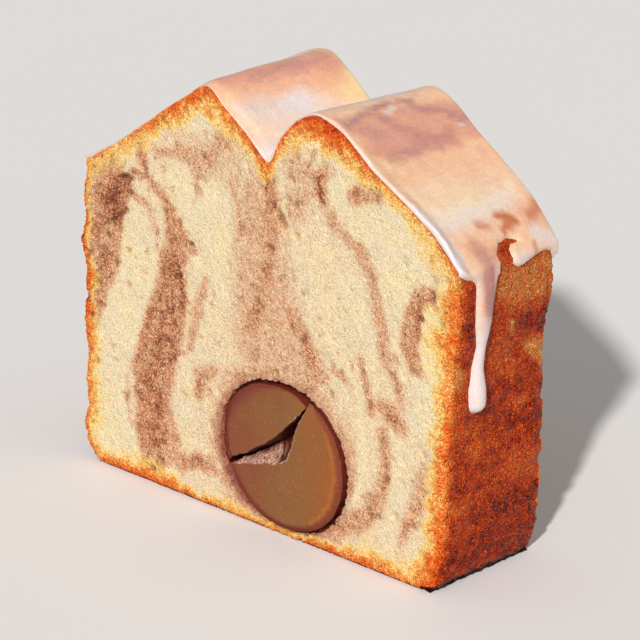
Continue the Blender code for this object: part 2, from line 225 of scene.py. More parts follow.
# Browning of the baked sides: strokes as (y, z, half width).
SIDE_BAKE = 0.84
DARKEST_BAKE = 0.86
# Painted contact shadow: browning past the darkest crust, for the dark line where the foot meets the floor.
FOOT_SHADOW = 1.3
LEFT_SIDE_SHIFT = (0, 3.5)      # the left side has the same strokes, moved by this (y, z)
SIDE_BAKE_STROKES = (
    (0.95, 2.2, ((-9.6, 53.5, 1.4), (-9.8, 48.5, 2.4), (-10.2, 43.2, 2.4))),
    (0.40, 1.6, ((-11.4, 39.6, 1.0), (-10.8, 37, 1.7))),
    (0.72, 2.0, ((-10.2, 33.6, 1.8),)),
    (0.89, 2.2, ((-8, 31, 1.5), (-4, 29.4, 1.8), (0, 31, 1.4))),
    (0.64, 1.4, ((-2.2, 56, 1.6), (-1.4, 53.4, 1.3))),
    (0.89, 0.9, ((-3.4, 52, 0.5), (-3.0, 47, 0.6))),
    (0.50, 4.0, ((0, 50.4, 3.4), (6, 50, 4.4), (12.5, 49.4, 3.8))),
    (0.36, 1.2, ((1.6, 43.8, 0.8), (2.4, 42.6, 0.9))),
    (0.98, 1.6, ((4.6, 43, 1.2), (8, 42.8, 1.7), (12.5, 42.2, 2.1), (11, 39.8, 0.9))),
    (0.70, 3.0, ((-1, 40.4, 2.6), (1, 37, 3.0), (3, 35, 2.0))),
    (0.44, 1.8, ((7, 38.2, 1.1), (11, 37, 1.7), (12.6, 34.6, 1.7))),
    (0.91, 2.2, ((2, 32.2, 1.1), (6, 31, 1.5), (12, 31, 1.2))),
    (0.68, 1.6, ((8.4, 29.2, 0.9), (5, 28.6, 0.7))),
    (0.93, 2.2, ((1, 26.6, 1.5), (7, 25.8, 1.5), (12.5, 25.4, 1.8))),
    (0.70, 2.6, ((-11, 27.4, 1.8), (-6, 28, 1.6), (-5, 23.4, 1.8))),
    (0.96, 1.3, ((-9.6, 19.2, 0.7), (-8, 17.8, 0.9))),
    (0.67, 2.8, ((4, 18.6, 2.2), (9, 17.6, 2.6), (12.5, 16.6, 2.4))),
    (0.68, 2.6, ((-12, 14.4, 1.6), (-8, 14.6, 1.6))),
    (0.97, 2.6, ((-4, 12.6, 1.6), (2, 12, 1.9), (8, 11.4, 2.1), (12, 11.4, 1.9))),
    (0.95, 3.0, ((-9.6, 5.4, 2.8), (0, 5, 3.8), (12, 5, 3.8))),
    (1.00, 1.6, ((-12, 0.8, 1.0), (0, 0.4, 1.0), (12, 0.8, 1.2))),
    (0.50, 3.4, ((-12.8, 6, 0.8), (-12.8, 20, 1.3), (-12.8, 40, 1.6), (-12.8, 56, 1.8))),
)
STREAK_WOBBLE = ((5.0, 0.5), (1.5, 0.4))   # (wave length, shift) of the streaks' edges
MARBLE_DRIFT = (17.0, 8.0)                  # the same for the drift towards the back cut

# Torn holes in the front cut, as strokes of (x, z, half width).
TORN_HOLES = (
    ((-35.2, 53.4, 0.35), (-33.2, 54.1, 0.6), (-31.2, 54.2, 0.45)),
    ((-37.2, 45.2, 0.35), (-35, 46.8, 0.5), (-32.9, 48.2, 0.6)),
    ((-40, 39.7, 0.3), (-38, 40, 0.25)), ((-40.2, 51, 0.3), (-39.3, 51.2, 0.4)),
    ((-35.2, 50.6, 0.3), (-34.4, 51, 0.3)),
    ((-38.8, 44.4, 0.25), (-37, 44.8, 0.25)), ((-20.8, 39.6, 0.45), (-20.2, 39.9, 0.4)),
    ((-21.4, 46.2, 0.35), (-20.8, 46.4, 0.3)),
    ((-19.8, 34.8, 0.5), (-19.4, 34.2, 0.3)), ((-25.2, 27.2, 0.45), (-24.6, 27, 0.3)),
    ((-15.2, 30.2, 0.4), (-14.6, 30, 0.25)),
    ((-14, 58.1, 0.6), (-13.6, 57.8, 0.4)), ((-28.6, 57.6, 0.3), (-28.4, 56.8, 0.3)),
    ((-18.2, 69.4, 0.35), (-17.6, 69, 0.3)),
    ((-19.5, 18.8, 0.5), (-19, 18.5, 0.4)), ((-40, 29.8, 0.35), (-38.6, 29.4, 0.3)),
    ((-30.4, 16, 0.25), (-30, 15.8, 0.2)),
    ((-26, 5.2, 0.3), (-25, 5, 0.4)), ((3.8, 56.6, 0.55), (4.4, 55.6, 0.9), (5, 54.7, 0.8)),
    ((7.4, 54, 0.45), (8, 53.4, 0.55)),
    ((1.4, 50.1, 0.5), (2.2, 49.9, 0.55)), ((6.4, 63, 0.5), (7.2, 62.8, 0.45)),
    ((5.6, 59.6, 0.4), (6.4, 59.3, 0.4)),
    ((38.3, 50.2, 0.45), (38.5, 48.9, 0.6)), ((37.8, 51.4, 0.4), (38.3, 51.2, 0.4)),
    ((35.6, 46.6, 0.5), (36, 46.2, 0.4)),
    ((12.9, 62.8, 0.35), (13.4, 62.2, 0.3)), ((-6, 39.2, 0.35), (-5.4, 38.8, 0.3)),
    ((3.6, 45.2, 0.35), (4.2, 45.1, 0.3)),
    ((30, 38.6, 0.45), (30.4, 37.6, 0.4)), ((26.4, 10.2, 0.4), (26.9, 10, 0.35)),
    ((25, 15, 0.3), (25.5, 14.6, 0.3)),
    ((8.4, 33.4, 0.35), (9, 33.2, 0.3)), ((-4.6, 26.4, 0.3), (-4.2, 26, 0.35)),
    ((-2.8, 27.6, 0.3), (-2.4, 27.4, 0.3)),
)

# Chestnut, seen on the front cut.
CHESTNUT_CENTRE = (4.6, 14.1)
CHESTNUT_RADII = (14.4, 12.6)
CHESTNUT_MEAN_RADIUS = 13.5
CHESTNUT_SQUARENESS = 2.1     # 2 is a true oval
CHESTNUT_BACK_SCALE = 0.72    # size at the back cut
CHESTNUT_TAPER = 1.6          # above 1 it narrows late
HOLLOW_GROWTH = 1.03          # the hollow in the crumb against the chestnut
SMALL_ARC = (66.0, 199.0)     # where each piece's skin starts and ends, in degrees
LARGE_ARC = (-158.0, 61.0)
# Skin of each piece, as (degrees, size against the whole oval, width of the stained rim).
SMALL_SKIN = (
    (66, 0.89, 0.3), (72, 0.92, 0.4), (80, 0.955, 0.5), (95, 0.97, 0.6), (110, 0.985, 1.4), (130, 1.0, 2.2),
    (150, 1.005, 2.1), (170, 0.99, 1.4), (185, 0.965, 1.2), (199, 0.95, 1.0),
)
LARGE_SKIN = (
    (-158, 0.96, 1.7), (-140, 0.985, 1.5), (-110, 1.0, 1.0), (-90, 1.0, 0.9), (-60, 0.99, 1.0),
    (-40, 0.975, 1.3),
    (-20, 0.955, 1.5), (0, 0.95, 1.6), (25, 0.95, 1.4), (45, 0.97, 1.0), (60, 0.98, 0.7),
)
SMALL_CENTRE = (-2.5, 19.5)   # where each piece's cut face starts, inside its outline
LARGE_CENTRE = (8.0, 9.5)
LARGE_BREAK = (
    (10.9, 25.4), (9.3, 23.0), (8.0, 20.8), (7.0, 18.5), (6.3, 16.2), (5.3, 13.8),
    (2.5, 12.3), (-0.6, 11.6), (-3.6, 10.6), (-6.6, 9.9),
)
LARGE_BREAK_DEEP = (
    (10.5, 25.3), (8.8, 23.2), (7.4, 21.3), (6.3, 19.4), (5.1, 17.9), (3.1, 16.5),
    (0.6, 15.1), (-2.0, 13.5), (-4.5, 12.0), (-6.9, 10.7),
)
SMALL_BREAK = (
    (-7.6, 10.8), (-6.0, 11.6), (-4.0, 12.5), (-1.6, 14.1), (0.6, 15.5), (2.8, 17.3),
    (4.8, 19.2), (6.7, 21.0), (8.1, 22.5), (9.0, 23.5),
)
SMALL_BREAK_DEEP = (
    (-7.7, 10.7), (-6.2, 11.4), (-4.2, 12.2), (-1.9, 13.5), (0.4, 14.9), (2.9, 16.4),
    (5.0, 18.4), (6.4, 20.5), (7.9, 22.4), (8.9, 23.5),
)
SMALL_CLOSES = 0.13           # share of the slice's thickness over which the crack closes
LARGE_CLOSES = 0.12
LINING_OUTSIDE = 1.07         # outside and inside of the syrup's ring against the whole oval
LINING_INSIDE = 0.985

# Icing mesh: faces down the left side, over the top, down the right side.
ICING_STEPS = (30, 310, 94)
LEFT_HANG = 11.0
RIGHT_HANG = 28.0
ICING_ROOT = 0.6              # how deep the sheet's underside sits in the crust
ROOT_INSET = 0.9              # how far its underside keeps from both cuts
SHEET = 0.5                   # thickness of the film
CLEFT_POOL = 1.0              # how much more lies in the cleft
EDGE_ROUND = 0.9              # width over which the sheet's edge is rounded
DRIP_JOIN = 0.35              # how softly the drip runs out of the sheet
OUTSIDE = -0.45               # thickness where there is no icing any more

# Icing's lower edge on the right side, as (y, height above the shoulder line), and the gap beside the
# long drip where the crust shows, as a stroke of (y, height, half width).
RIGHT_EDGE = (
    (-12.5, 0.4), (-11.5, -0.2), (-10.5, -0.7), (-9.2, -1.0), (-8.4, -1.8), (-7.6, -4.0), (-4.4, -4.0),
    (-3.4, -2.0),
    (1.2, -0.9), (2.4, -1.7), (3.8, -1.6), (5.4, -1.2), (6.8, -0.9), (8.6, -0.5), (10.0, -0.5),
    (11.2, -1.0), (12.5, -2.0),
)
ICING_GAP = (
    (-0.6, -6.0, 1.9), (-0.5, -2.0, 1.9), (-0.5, 0.4, 1.8), (0.5, 2.1, 1.2), (2.2, 2.9, 0.7),
    (4.2, 2.5, 0.3),
)
LEFT_EDGE = (
    (-12.5, -0.8), (-9.0, -2.0), (-6.0, -5.5), (-4.0, -7.6), (-2.6, -7.8), (-1.0, -4.0), (1.5, -1.6),
    (5.0, -1.0), (9.0, -2.4), (12.5, -1.4),
)
# The long drip, as (y, height above the shoulder line, half width, thickness).
DRIP = (
    (-5.3, 2.5, 3.2, 0.5), (-5.4, -1.0, 2.8, 0.6), (-5.75, -4.7, 2.25, 0.8), (-5.7, -9.0, 1.95, 0.85),
    (-5.8, -13.2, 1.1, 0.8), (-6.1, -17.0, 1.35, 1.0), (-6.05, -20.5, 1.75, 1.4), (-5.95, -22.8, 1.8, 1.45),
)
# Thickness of the sheet where it ends at the main cut, as (x, thickness).
CUT_RIM = (
    (-45, 0.3), (-42.6, 0.6), (-39, 0.5), (-36, 0.25), (-30, 0.16), (-16, 0.14), (-12, 0.16), (-8, 0.22),
    (-3, 0.3), (0.4, 0.9),
    (3, 0.5), (6, 0.35), (10, 0.4), (13, 0.55), (17, 0.8), (22, 0.9), (27, 0.75), (32, 0.85), (37, 1.2),
    (41, 1.3), (44, 0.8),
)


# Numbers and curves

def blend(a, b, share):
    return a + (b - a) * share


def smooth_step(value):
    value = np.clip(value, 0.0, 1.0)
    return value * value * (3.0 - 2.0 * value)


def on_spline(points, place):
    """Point of a smooth curve through the points, at a fractional place in their list."""
    last = len(points) - 1
    start = min(int(place), last - 1)
    t = place - start
    before, a, b, after = (points[min(max(start + k, 0), last)] for k in (-1, 0, 1, 2))
    return tuple(
        0.5 * (2 * q + (r - p) * t + (2 * p - 5 * q + 4 * r - s) * t**2 + (3 * q - p - 3 * r + s) * t**3)
        for p, q, r, s in zip(before, a, b, after)
    )


def on_rows(rows, value):
    """Values of the second and third columns where the first one holds value."""
    if value <= rows[0][0]:
        return rows[0][1:]
    for low, high in zip(rows, rows[1:]):
        if value <= high[0]:
            share = (value - low[0]) / (high[0] - low[0])
            return tuple(blend(a, b, share) for a, b in zip(low[1:], high[1:]))
    return rows[-1][1:]


def noise_at(points, wave, octaves=1, seed=0.0):
    """Smooth noise of about -1 to 1 at each point, with waves that many millimetres long."""
    shift = Vector((17.3, 5.1, 9.7)) * seed
    return np.array([noise.fractal(Vector(p) / wave + shift, 1.0, 2.0, octaves) for p in points])


def on_line(rows, place, column=1):
    """Value of one column of the rows where their first column holds place."""
    return np.interp(place, [row[0] for row in rows], [row[column] for row in rows])


def beside(points, a, b):
    """Share of the way from a to b at which each 2-D point lies, and its distance from that line."""
    start = np.array(a[:2])
    run = np.array(b[:2]) - start
    share = np.clip((points - start) @ run / max(run @ run, 1e-9), 0.0, 1.0)
    return share, np.linalg.norm(points - start - share[:, None] * run, axis=1)


def painted(points, level, strokes):
    """Level at each 2-D point once the strokes are laid over it one after the other."""
    level = np.full(len(points), level) if np.isscalar(level) else level.copy()
    for target, edge, path in strokes:
        cover = np.zeros(len(points))
        for a, b in zip(path, path[1:] or path):
            share, away = beside(points, a, b)
            cover = np.maximum(cover, smooth_step((blend(a[2], b[2], share) - away) / edge + 0.5))
        level = blend(level, target, cover)
    return level


def stroke_depth(points, strokes):
    """How deep each 2-D point lies in strokes of (x, z, half width), from 0 at their edges."""
    depth = np.zeros(len(points))
    for path in strokes:
        for a, b in zip(path, path[1:] or path):
            share, away = beside(points, a, b)
            half = blend(a[2], b[2], share)
            depth = np.maximum(depth, np.clip(1.0 - away / (half + 0.15), 0.0, 1.0) * half)
    return depth


def stroke_distance(points, path):
    """Distance of each 2-D point outside one stroke; it is below 0 inside."""
    nearest = np.full(len(points), 99.0)
    for a, b in zip(path, path[1:]):
        share, away = beside(points, a, b)
        nearest = np.minimum(nearest, away - blend(a[2], b[2], share))
    return nearest


# The loaf's outer shape

def side_at(rows, height, depth):
    front, back = on_rows(rows, height)
    return blend(front, back, depth)


def top_at(across, depth):
    """Place on the loaf's top: across from 0 to 1, depth from 0 to 1."""
    place = across * (len(TOP_FRONT) - 1)
    front = on_spline(TOP_FRONT, place)
    back = on_spline(TOP_BACK, place)
    x, z = (blend(a, b, depth) for a, b in zip(front, back))
    relief = noise.fractal(Vector((x, depth * THICKNESS, z)) / CRUST_WAVE, 1.0, 2.0, 2)
    return x, z + TOP_RELIEF * relief


def crumb_at(across, up, depth):
    """Place in the loaf: all three run from 0 to 1, from the left, the foot and the front cut."""
    left_x = top_at(0.0, depth)[0]
    right_x = top_at(1.0, depth)[0]
    x_top, z_top = top_at(across, depth)
    share = (x_top - left_x) / (right_x - left_x)
    z = up * z_top
    y = FRONT + depth * THICKNESS
    x = blend(side_at(LEFT_SIDE, z, depth), side_at(RIGHT_SIDE, z, depth), share)
    relief = noise.fractal(Vector((x, y, z)) / CRUST_WAVE, 1.0, 2.0, 2)
    rise = math.sin(math.pi * min(up, 1.0)) ** 0.5
    return Vector((x + CRUST_RELIEF * relief * rise * (2.0 * share - 1.0) ** 3, y, z))


def tunnel_scale(depth):
    return 1.0 - (1.0 - CHESTNUT_BACK_SCALE) * depth**CHESTNUT_TAPER


def oval_point(degrees, scale):
    a = math.radians(degrees)
    c, s = math.cos(a), math.sin(a)
    power = 2.0 / CHESTNUT_SQUARENESS
    x = CHESTNUT_CENTRE[0] + CHESTNUT_RADII[0] * scale * math.copysign(abs(c) ** power, c)
    z = CHESTNUT_CENTRE[1] + CHESTNUT_RADII[1] * scale * math.copysign(abs(s) ** power, s)
    return x, z


# Meshes

def cut_cube(counts):
    """Unit cube split into so many equal steps along each axis."""
    bm = bmesh.new()
    bmesh.ops.create_cube(bm, size=1.0)
    for axis, count in enumerate(counts):
        along = [e for e in bm.edges if abs(e.verts[0].co[axis] - e.verts[1].co[axis]) > 0.5]
        if count > 1:
            bmesh.ops.subdivide_edges(bm, edges=along, cuts=count - 1, use_grid_fill=True)
    bmesh.ops.translate(bm, verts=bm.verts, vec=(0.5, 0.5, 0.5))
    return bm


def add_piece(name, bm, material, sharp=60.0):
    """Turns millimetres into metres and gives the mesh its object."""
    bmesh.ops.scale(bm, vec=(MM, MM, MM), verts=bm.verts)
    bm.normal_update()
    mesh = bpy.data.meshes.new(name)
    bm.to_mesh(mesh)
    bm.free()
    mesh.shade_smooth()
    mesh.set_sharp_from_angle(angle=math.radians(sharp))
    mesh.materials.append(material)
    piece = bpy.data.objects.new(name, mesh)
    bpy.context.scene.collection.objects.link(piece)
    return piece


def keep_levels(piece, **levels):
    """Stores one number for each vertex under each name, for the material to read."""
    for name, values in levels.items():
        layer = piece.data.attributes.new(name, "FLOAT", "POINT")
        layer.data.foreach_set("value", np.asarray(values, np.float32))


# Materials

def srgb(red, green, blue):
    """Linear colour of one given as the eye sees it, from 0 to 255."""
    channels = (red, green, blue)
    return tuple(((c / 255 + 0.055) / 1.055) ** 2.4 if c > 10 else c / 255 / 12.92 for c in channels)


class Finish:
    """One material's nodes, with short calls for the ones that a finish is made of."""

    def __init__(self, name):
        self.material = bpy.data.materials.new(name)
        self.material.use_nodes = True
        self.tree = self.material.node_tree
        self.shader = self.tree.nodes["Principled BSDF"]
        self.place = self.tree.nodes.new("ShaderNodeTexCoord").outputs["Object"]

    def put(self, socket, value):
        if isinstance(value, bpy.types.NodeSocket):
            self.tree.links.new(value, socket)
        elif hasattr(value, "__len__") and len(value) == 3 and len(socket.default_value) == 4:
            socket.default_value = (*value, 1.0)
        else:
            socket.default_value = value

    def set(self, **values):
        """Values of the shader's inputs, with _ for the spaces in their names."""
        for name, value in values.items():
            self.put(self.shader.inputs[name.replace("_", " ")], value)

    def level(self, name):
        node = self.tree.nodes.new("ShaderNodeAttribute")
        node.attribute_name = name
        return node.outputs["Fac"]

    def math(self, kind, a, b=0.0, clamp=False):
        node = self.tree.nodes.new("ShaderNodeMath")
        node.operation = kind
        node.use_clamp = clamp
        self.put(node.inputs[0], a)
        self.put(node.inputs[1], b)
        return node.outputs[0]

    def times(self, a, b):
        return self.math("MULTIPLY", a, b)

    def plus(self, a, b, clamp=False):
        return self.math("ADD", a, b, clamp)

    def minus(self, a, b):
        return self.math("SUBTRACT", a, b)

    def grain(self, size, detail=2.0, roughness=0.5, stretch=None):
        """Noise from 0 to 1 whose blotches are about size millimetres wide."""
        node = self.tree.nodes.new("ShaderNodeTexNoise")
        node.inputs["Scale"].default_value = 1.0 / (size * MM)
        node.inputs["Detail"].default_value = detail
        node.inputs["Roughness"].default_value = roughness
        place = self.place
        if stretch:
            mapping = self.tree.nodes.new("ShaderNodeMapping")
            mapping.inputs["Scale"].default_value = stretch
            self.put(mapping.inputs["Vector"], place)
            place = mapping.outputs["Vector"]
        self.put(node.inputs["Vector"], place)
        return node.outputs["Fac"]

    def cells(self, size, shift=0.0):
        """Distance to the nearest of points about size millimetres apart, and its random number."""
        node = self.tree.nodes.new("ShaderNodeTexVoronoi")
        node.inputs["Scale"].default_value = 1.0 / (size * MM)
        mapping = self.tree.nodes.new("ShaderNodeMapping")
        mapping.inputs["Location"].default_value = (shift, shift, shift)
        self.put(mapping.inputs["Vector"], self.place)
        self.put(node.inputs["Vector"], mapping.outputs["Vector"])
        return node.outputs["Distance"], node.outputs["Color"]

    def specks(self, size, radius, share, shift=0.0):
        """1 inside small round specks size millimetres apart, of which only a share is there."""
        away, chance = self.cells(size, shift)
        inside = self.spread(away, radius, radius * 0.55)
        return self.times(inside, self.math("LESS_THAN", chance, share))

    def swing(self, value, low, high):
        """Value stretched from low..high to half a step below and above zero."""
        return self.spread(value, low, high, -0.5, 0.5)

    def spread(self, value, low, high, to_low=0.0, to_high=1.0):
        """Value stretched from low..high to to_low..to_high and held there."""
        node = self.tree.nodes.new("ShaderNodeMapRange")
        self.put(node.inputs["Value"], value)
        sockets = ("From Min", "From Max", "To Min", "To Max")
        for socket, number in zip(sockets, (low, high, to_low, to_high)):
            self.put(node.inputs[socket], number)
        return node.outputs["Result"]

    def ramp(self, value, stops):
        node = self.tree.nodes.new("ShaderNodeValToRGB")
        elements = node.color_ramp.elements
        while len(elements) < len(stops):
            elements.new(1.0)
        for element, (place, colour) in zip(elements, stops):
            element.position = place
            element.color = (*colour, 1.0)
        self.put(node.inputs["Fac"], value)
        return node.outputs["Color"]

    def mix(self, share, a, b, kind="MIX"):
        node = self.tree.nodes.new("ShaderNodeMix")
        node.data_type = "RGBA"
        node.blend_type = kind
        self.put(node.inputs["Factor"], share)
        self.put(node.inputs[6], a)
        self.put(node.inputs[7], b)
        return node.outputs[2]

    def bump(self, height, depth, under=None):
        """Relief of depth millimetres, on top of the relief under it."""
        node = self.tree.nodes.new("ShaderNodeBump")
        node.inputs["Strength"].default_value = 1.0
        node.inputs["Distance"].default_value = depth * MM
        self.put(node.inputs["Height"], height)
        if under is not None:
            self.put(node.inputs["Normal"], under)
        return node.outputs["Normal"]


def crumb_finish(look):
    """Marbled crumb that browns towards the crust, with the baked crust round it."""
    f = Finish("marbled_crumb")
    broad = f.spread(f.grain(CRUMB_CLOUD, 2.0), 0.35, 0.65)
    coarse = f.swing(f.grain(CRUMB_CLUMP, 3.0, 0.6), 0.32, 0.68)
    fine = f.swing(f.grain(CRUMB_GRAIN, 2.0, 0.6), 0.30, 0.70)
    speckle = f.swing(f.grain(CRUMB_SPECKLE, 2.0, 0.7), 0.32, 0.68)
    granules, chance = f.cells(CRUST_GRANULE)
    granule = f.spread(granules, 0.05, 0.62, 0.5, -0.5)
    level = f.level("cocoa")
    bake = f.level("bake")
    side = f.level("side")
    rough = f.math("MAXIMUM", level, bake)
    side_granule = f.times(granule, side)

    # marbled batter
    loose = f.plus(0.08, f.times(level, 0.55))
    cocoa = f.plus(level, f.times(fine, loose))
    cocoa = f.plus(cocoa, f.times(coarse, f.times(loose, 0.45)))
    cocoa = f.plus(cocoa, f.times(speckle, f.spread(level, 0.0, 1.0, 0.22, 0.44)), clamp=True)
    crumb = f.ramp(cocoa, (
        (0.0, look.cream), (0.34, look.tan), (0.68, look.cocoa), (1.0, look.dark_cocoa),
    ))
    crumb = f.mix(f.times(broad, f.spread(level, 0.0, 0.3, 0.45, 0.0)), crumb, look.egg)
    # Syrup colour: a real stain round the chestnut, and partly painted shade on the hollow's wall.
    crumb = f.mix(f.level("stain"), crumb, look.syrup_stain)

    # browning, more uneven the further it has gone
    uneven = f.plus(f.times(fine, 0.26), f.times(coarse, f.spread(side, 0.0, 1.0, 0.20, 0.08)))
    uneven = f.plus(uneven, f.times(speckle, 0.20))
    # Granule centres on the sides brown less: painted light on the raised grains.
    uneven = f.minus(uneven, f.times(side_granule, 0.16))
    browning = f.plus(bake, f.times(uneven, f.spread(bake, 0.05, 0.4)))
    # The ramp's last stop is the painted contact shadow along the foot.
    crust = f.ramp(browning, (
        (0.0, look.egg), (0.20, look.yellow), (0.40, look.orange),
        (0.63, look.crust), (0.85, look.dark_crust), (1.0, look.foot_shadow),
    ))
    colour = f.mix(f.spread(browning, 0.04, 0.30), crumb, crust)

    # painted shade in the open pores, painted highlights on bright grains, and painted shade between the
    # grains, a little lighter on the sides
    pits = f.times(f.specks(0.85, 0.27, 0.36), f.spread(rough, 0.0, 0.6, 0.08, 1.0))
    shaded_holes = f.math("MAXIMUM", pits, f.level("pit"))
    pore_shade = f.mix(f.spread(rough, 0.1, 0.6), look.pore_shade, look.deep_pore_shade)
    colour = f.mix(f.times(shaded_holes, 0.72), colour, pore_shade)
    # Painted highlights: small bright glints on the grains, pale on the crumb and orange on the crust.
    painted_glints = f.times(f.specks(0.62, 0.26, 0.40, 7.0), f.spread(rough, 0.0, 0.7, 0.35, 0.60))
    colour = f.mix(painted_glints, colour, f.mix(f.spread(bake, 0.2, 0.6), look.grain_glint, look.crust_glint))
    depth = f.plus(0.26, f.times(rough, 0.36))
    shade = f.times(f.plus(speckle, f.times(fine, 0.5)), depth)
    shade = f.minus(f.spread(side, 0.0, 1.0, 1.0, 1.07), shade)
    shade = f.plus(shade, f.times(side_granule, 0.26))
    shade = f.plus(shade, f.times(f.minus(chance, 0.5), f.spread(rough, 0.0, 0.7, 0.10, 0.34)))
    colour = f.mix(1.0, colour, shade, "MULTIPLY")

    relief = f.bump(granule, 0.10)
    relief = f.bump(side_granule, 0.26, under=relief)
    relief = f.bump(fine, 0.08, under=relief)
    relief = f.bump(speckle, 0.09, under=relief)
    relief = f.bump(f.minus(1.0, pits), 0.25, under=relief)
    f.set(Base_Color=colour, Roughness=f.spread(side, 0.0, 1.0, 0.75, 0.42), Normal=relief)
    f.set(Subsurface_Weight=0.10, Subsurface_Scale=0.5 * MM, Specular_IOR_Level=0.18)
    return f.material


def icing_finish(look):
    """Sugar icing: white where it is thick, tinted by the crust where it is a film."""
    f = Finish("sugar_icing")
    cloud = f.grain(6.0, 3.0, 0.6)
    fine = f.grain(0.34, 3.0, 0.7)
    streak = f.swing(f.grain(1.0, 4.0, 0.75, stretch=(1.0, 0.45, 1.0)), 0.3, 0.7)
    shift = f.plus(f.times(f.minus(cloud, 0.5), 0.5), f.times(streak, 0.34))
    blush = f.level("blush")
    toast = f.plus(f.level("toast"), shift, clamp=True)
    blush = f.plus(blush, f.times(f.plus(shift, streak), blush), clamp=True)
    milk = f.plus(f.level("milk"), f.times(shift, 0.5), clamp=True)
    colour = f.ramp(toast, ((0.0, look.cream), (0.5, look.peach), (1.0, look.salmon)))
    colour = f.mix(f.level("honey"), colour, look.honey)
    colour = f.mix(blush, colour, look.mauve)
    colour = f.mix(milk, colour, look.white)
    colour = f.mix(f.level("bare"), colour, look.bare)
    colour = f.mix(1.0, colour, f.spread(fine, 0.3, 0.7, 0.89, 1.08), "MULTIPLY")
    relief = f.bump(f.grain(2.4, 2.0), 0.18)
    relief = f.bump(fine, 0.05, under=relief)
    f.set(Base_Color=colour, Roughness=f.spread(fine, 0.3, 0.7, 0.30, 0.46), Normal=relief)
    f.set(Subsurface_Weight=0.25, Subsurface_Scale=1.2 * MM, Coat_Weight=0.35, Coat_Roughness=0.12)
    return f.material


def flesh_finish(look):
    """Waxy cut flesh of a glazed chestnut, darker towards its skin."""
    f = Finish("chestnut_flesh")
    cloud = f.swing(f.grain(5.0, 3.0, 0.6), 0.3, 0.7)
    fine = f.swing(f.grain(0.36, 3.0, 0.7), 0.3, 0.7)
    rim = f.level("rim")
    tone = f.plus(f.level("warmth"), f.times(cloud, 0.35))
    colour = f.ramp(tone, ((0.0, look.flesh_red), (0.5, look.flesh_olive), (1.0, look.flesh_orange)))
    colour = f.mix(f.plus(rim, f.times(fine, f.times(rim, 0.8)), clamp=True), colour, look.skin)
    # Painted highlight: a bright orange line along the flesh's right rim.
    colour = f.mix(f.level("rim_highlight"), colour, look.rim_highlight)
    rough = f.times(f.level("broken"), f.spread(fine, -0.3, 0.25, 0.05, 1.0))
    colour = f.mix(rough, colour, look.broken)
    # Syrup colour on the crack's faces: partly real syrup, partly painted shade deep in the crack.
    colour = f.mix(f.level("syrup_and_shade"), colour, look.syrup)
    colour = f.mix(1.0, colour, f.plus(1.0, f.times(fine, 0.22)), "MULTIPLY")
    colour = f.mix(f.times(f.specks(0.7, 0.2, 0.25, 3.0), 0.22), colour, look.broken)
    relief = f.bump(f.grain(1.6, 2.0), 0.10)
    relief = f.bump(fine, 0.05, under=relief)
    relief = f.bump(f.times(f.grain(0.4, 2.0), f.level("broken")), 0.5, under=relief)
    f.set(Base_Color=colour, Roughness=f.spread(fine, -0.5, 0.5, 0.40, 0.54), Normal=relief)
    f.set(Subsurface_Weight=0.12, Subsurface_Scale=1.0 * MM, Coat_Weight=0.05, Coat_Roughness=0.25)
    f.set(Specular_IOR_Level=0.25)
    return f.material


def syrup_finish(look):
    """Dark, glossy syrup between the chestnut and the crumb."""
    f = Finish("dark_syrup")
    cloud = f.spread(f.grain(1.2, 3.0, 0.6), 0.3, 0.7)
    colour = f.ramp(cloud, ((0.0, look.syrup), (0.7, look.syrup), (1.0, look.skin)))
    f.set(Base_Color=colour, Roughness=0.45, Normal=f.bump(f.grain(0.7, 3.0), 0.3))
    f.set(Specular_IOR_Level=0.12)
    return f.material


def floor_finish(look):
    """Matt pale board with the faintest mottle."""
    f = Finish("pale_floor")
    cloud = f.grain(60.0, 3.0)
    colour = f.mix(1.0, look.floor, f.spread(cloud, 0.3, 0.7, 0.998, 1.002), "MULTIPLY")
    f.set(Base_Color=colour, Roughness=0.95, Specular_IOR_Level=0.0)
    return f.material


# Crumb and crust

def hollow_cutter():
    """Oval tunnel through the loaf that holds the chestnut, longer than the slice."""
    steps, stations, reach = 120, 12, 2.0
    bm = bmesh.new()
    end = bm.faces.new([bm.verts.new() for _ in range(steps)])
    for station in range(stations + 1):
        depth = station / stations
        if station:
            made = bmesh.ops.extrude_face_region(bm, geom=[end])["geom"]
            if station > 1:
                bmesh.ops.delete(bm, geom=[end], context="FACES_KEEP_BOUNDARY")
            end = next(g for g in made if isinstance(g, bmesh.types.BMFace))
        scale = HOLLOW_GROWTH * tunnel_scale(depth)
        y = FRONT + depth * THICKNESS
        y += {0: -reach, stations: reach}.get(station, 0.0)
        for i, vertex in enumerate(end.verts):
            x, z = oval_point(360.0 * i / steps, scale)
            vertex.co = (x, y, z)
    bmesh.ops.recalc_face_normals(bm, faces=bm.faces)
    return bm


def carve_hollow(bm):
    """The crumb's mesh with the chestnut's tunnel cut through it."""
    meshes = []
    for name, source in (("loaf", bm), ("hollow", hollow_cutter())):
        mesh = bpy.data.meshes.new(name)
        source.to_mesh(mesh)
        source.free()
        meshes.append(bpy.data.objects.new(name, mesh))
        bpy.context.scene.collection.objects.link(meshes[-1])
    loaf, hollow = meshes
    cut = loaf.modifiers.new("hollow", "BOOLEAN")
    cut.operation = "DIFFERENCE"
    cut.solver = "EXACT"
    cut.object = hollow
    bpy.context.view_layer.update()
    carved = loaf.evaluated_get(bpy.context.evaluated_depsgraph_get()).to_mesh()
    result = bmesh.new()
    result.from_mesh(carved)
    for thing in meshes:
        bpy.data.objects.remove(thing, do_unlink=True)
    bmesh.ops.dissolve_degenerate(result, dist=1e-4, edges=result.edges)
    return result


def top_height(places, depth):
    """Height of the loaf's top over each x, on the front or the back cut."""
    line = np.array([top_at(i / 400, depth) for i in range(401)])
    return np.interp(places, line[:, 0], line[:, 1])


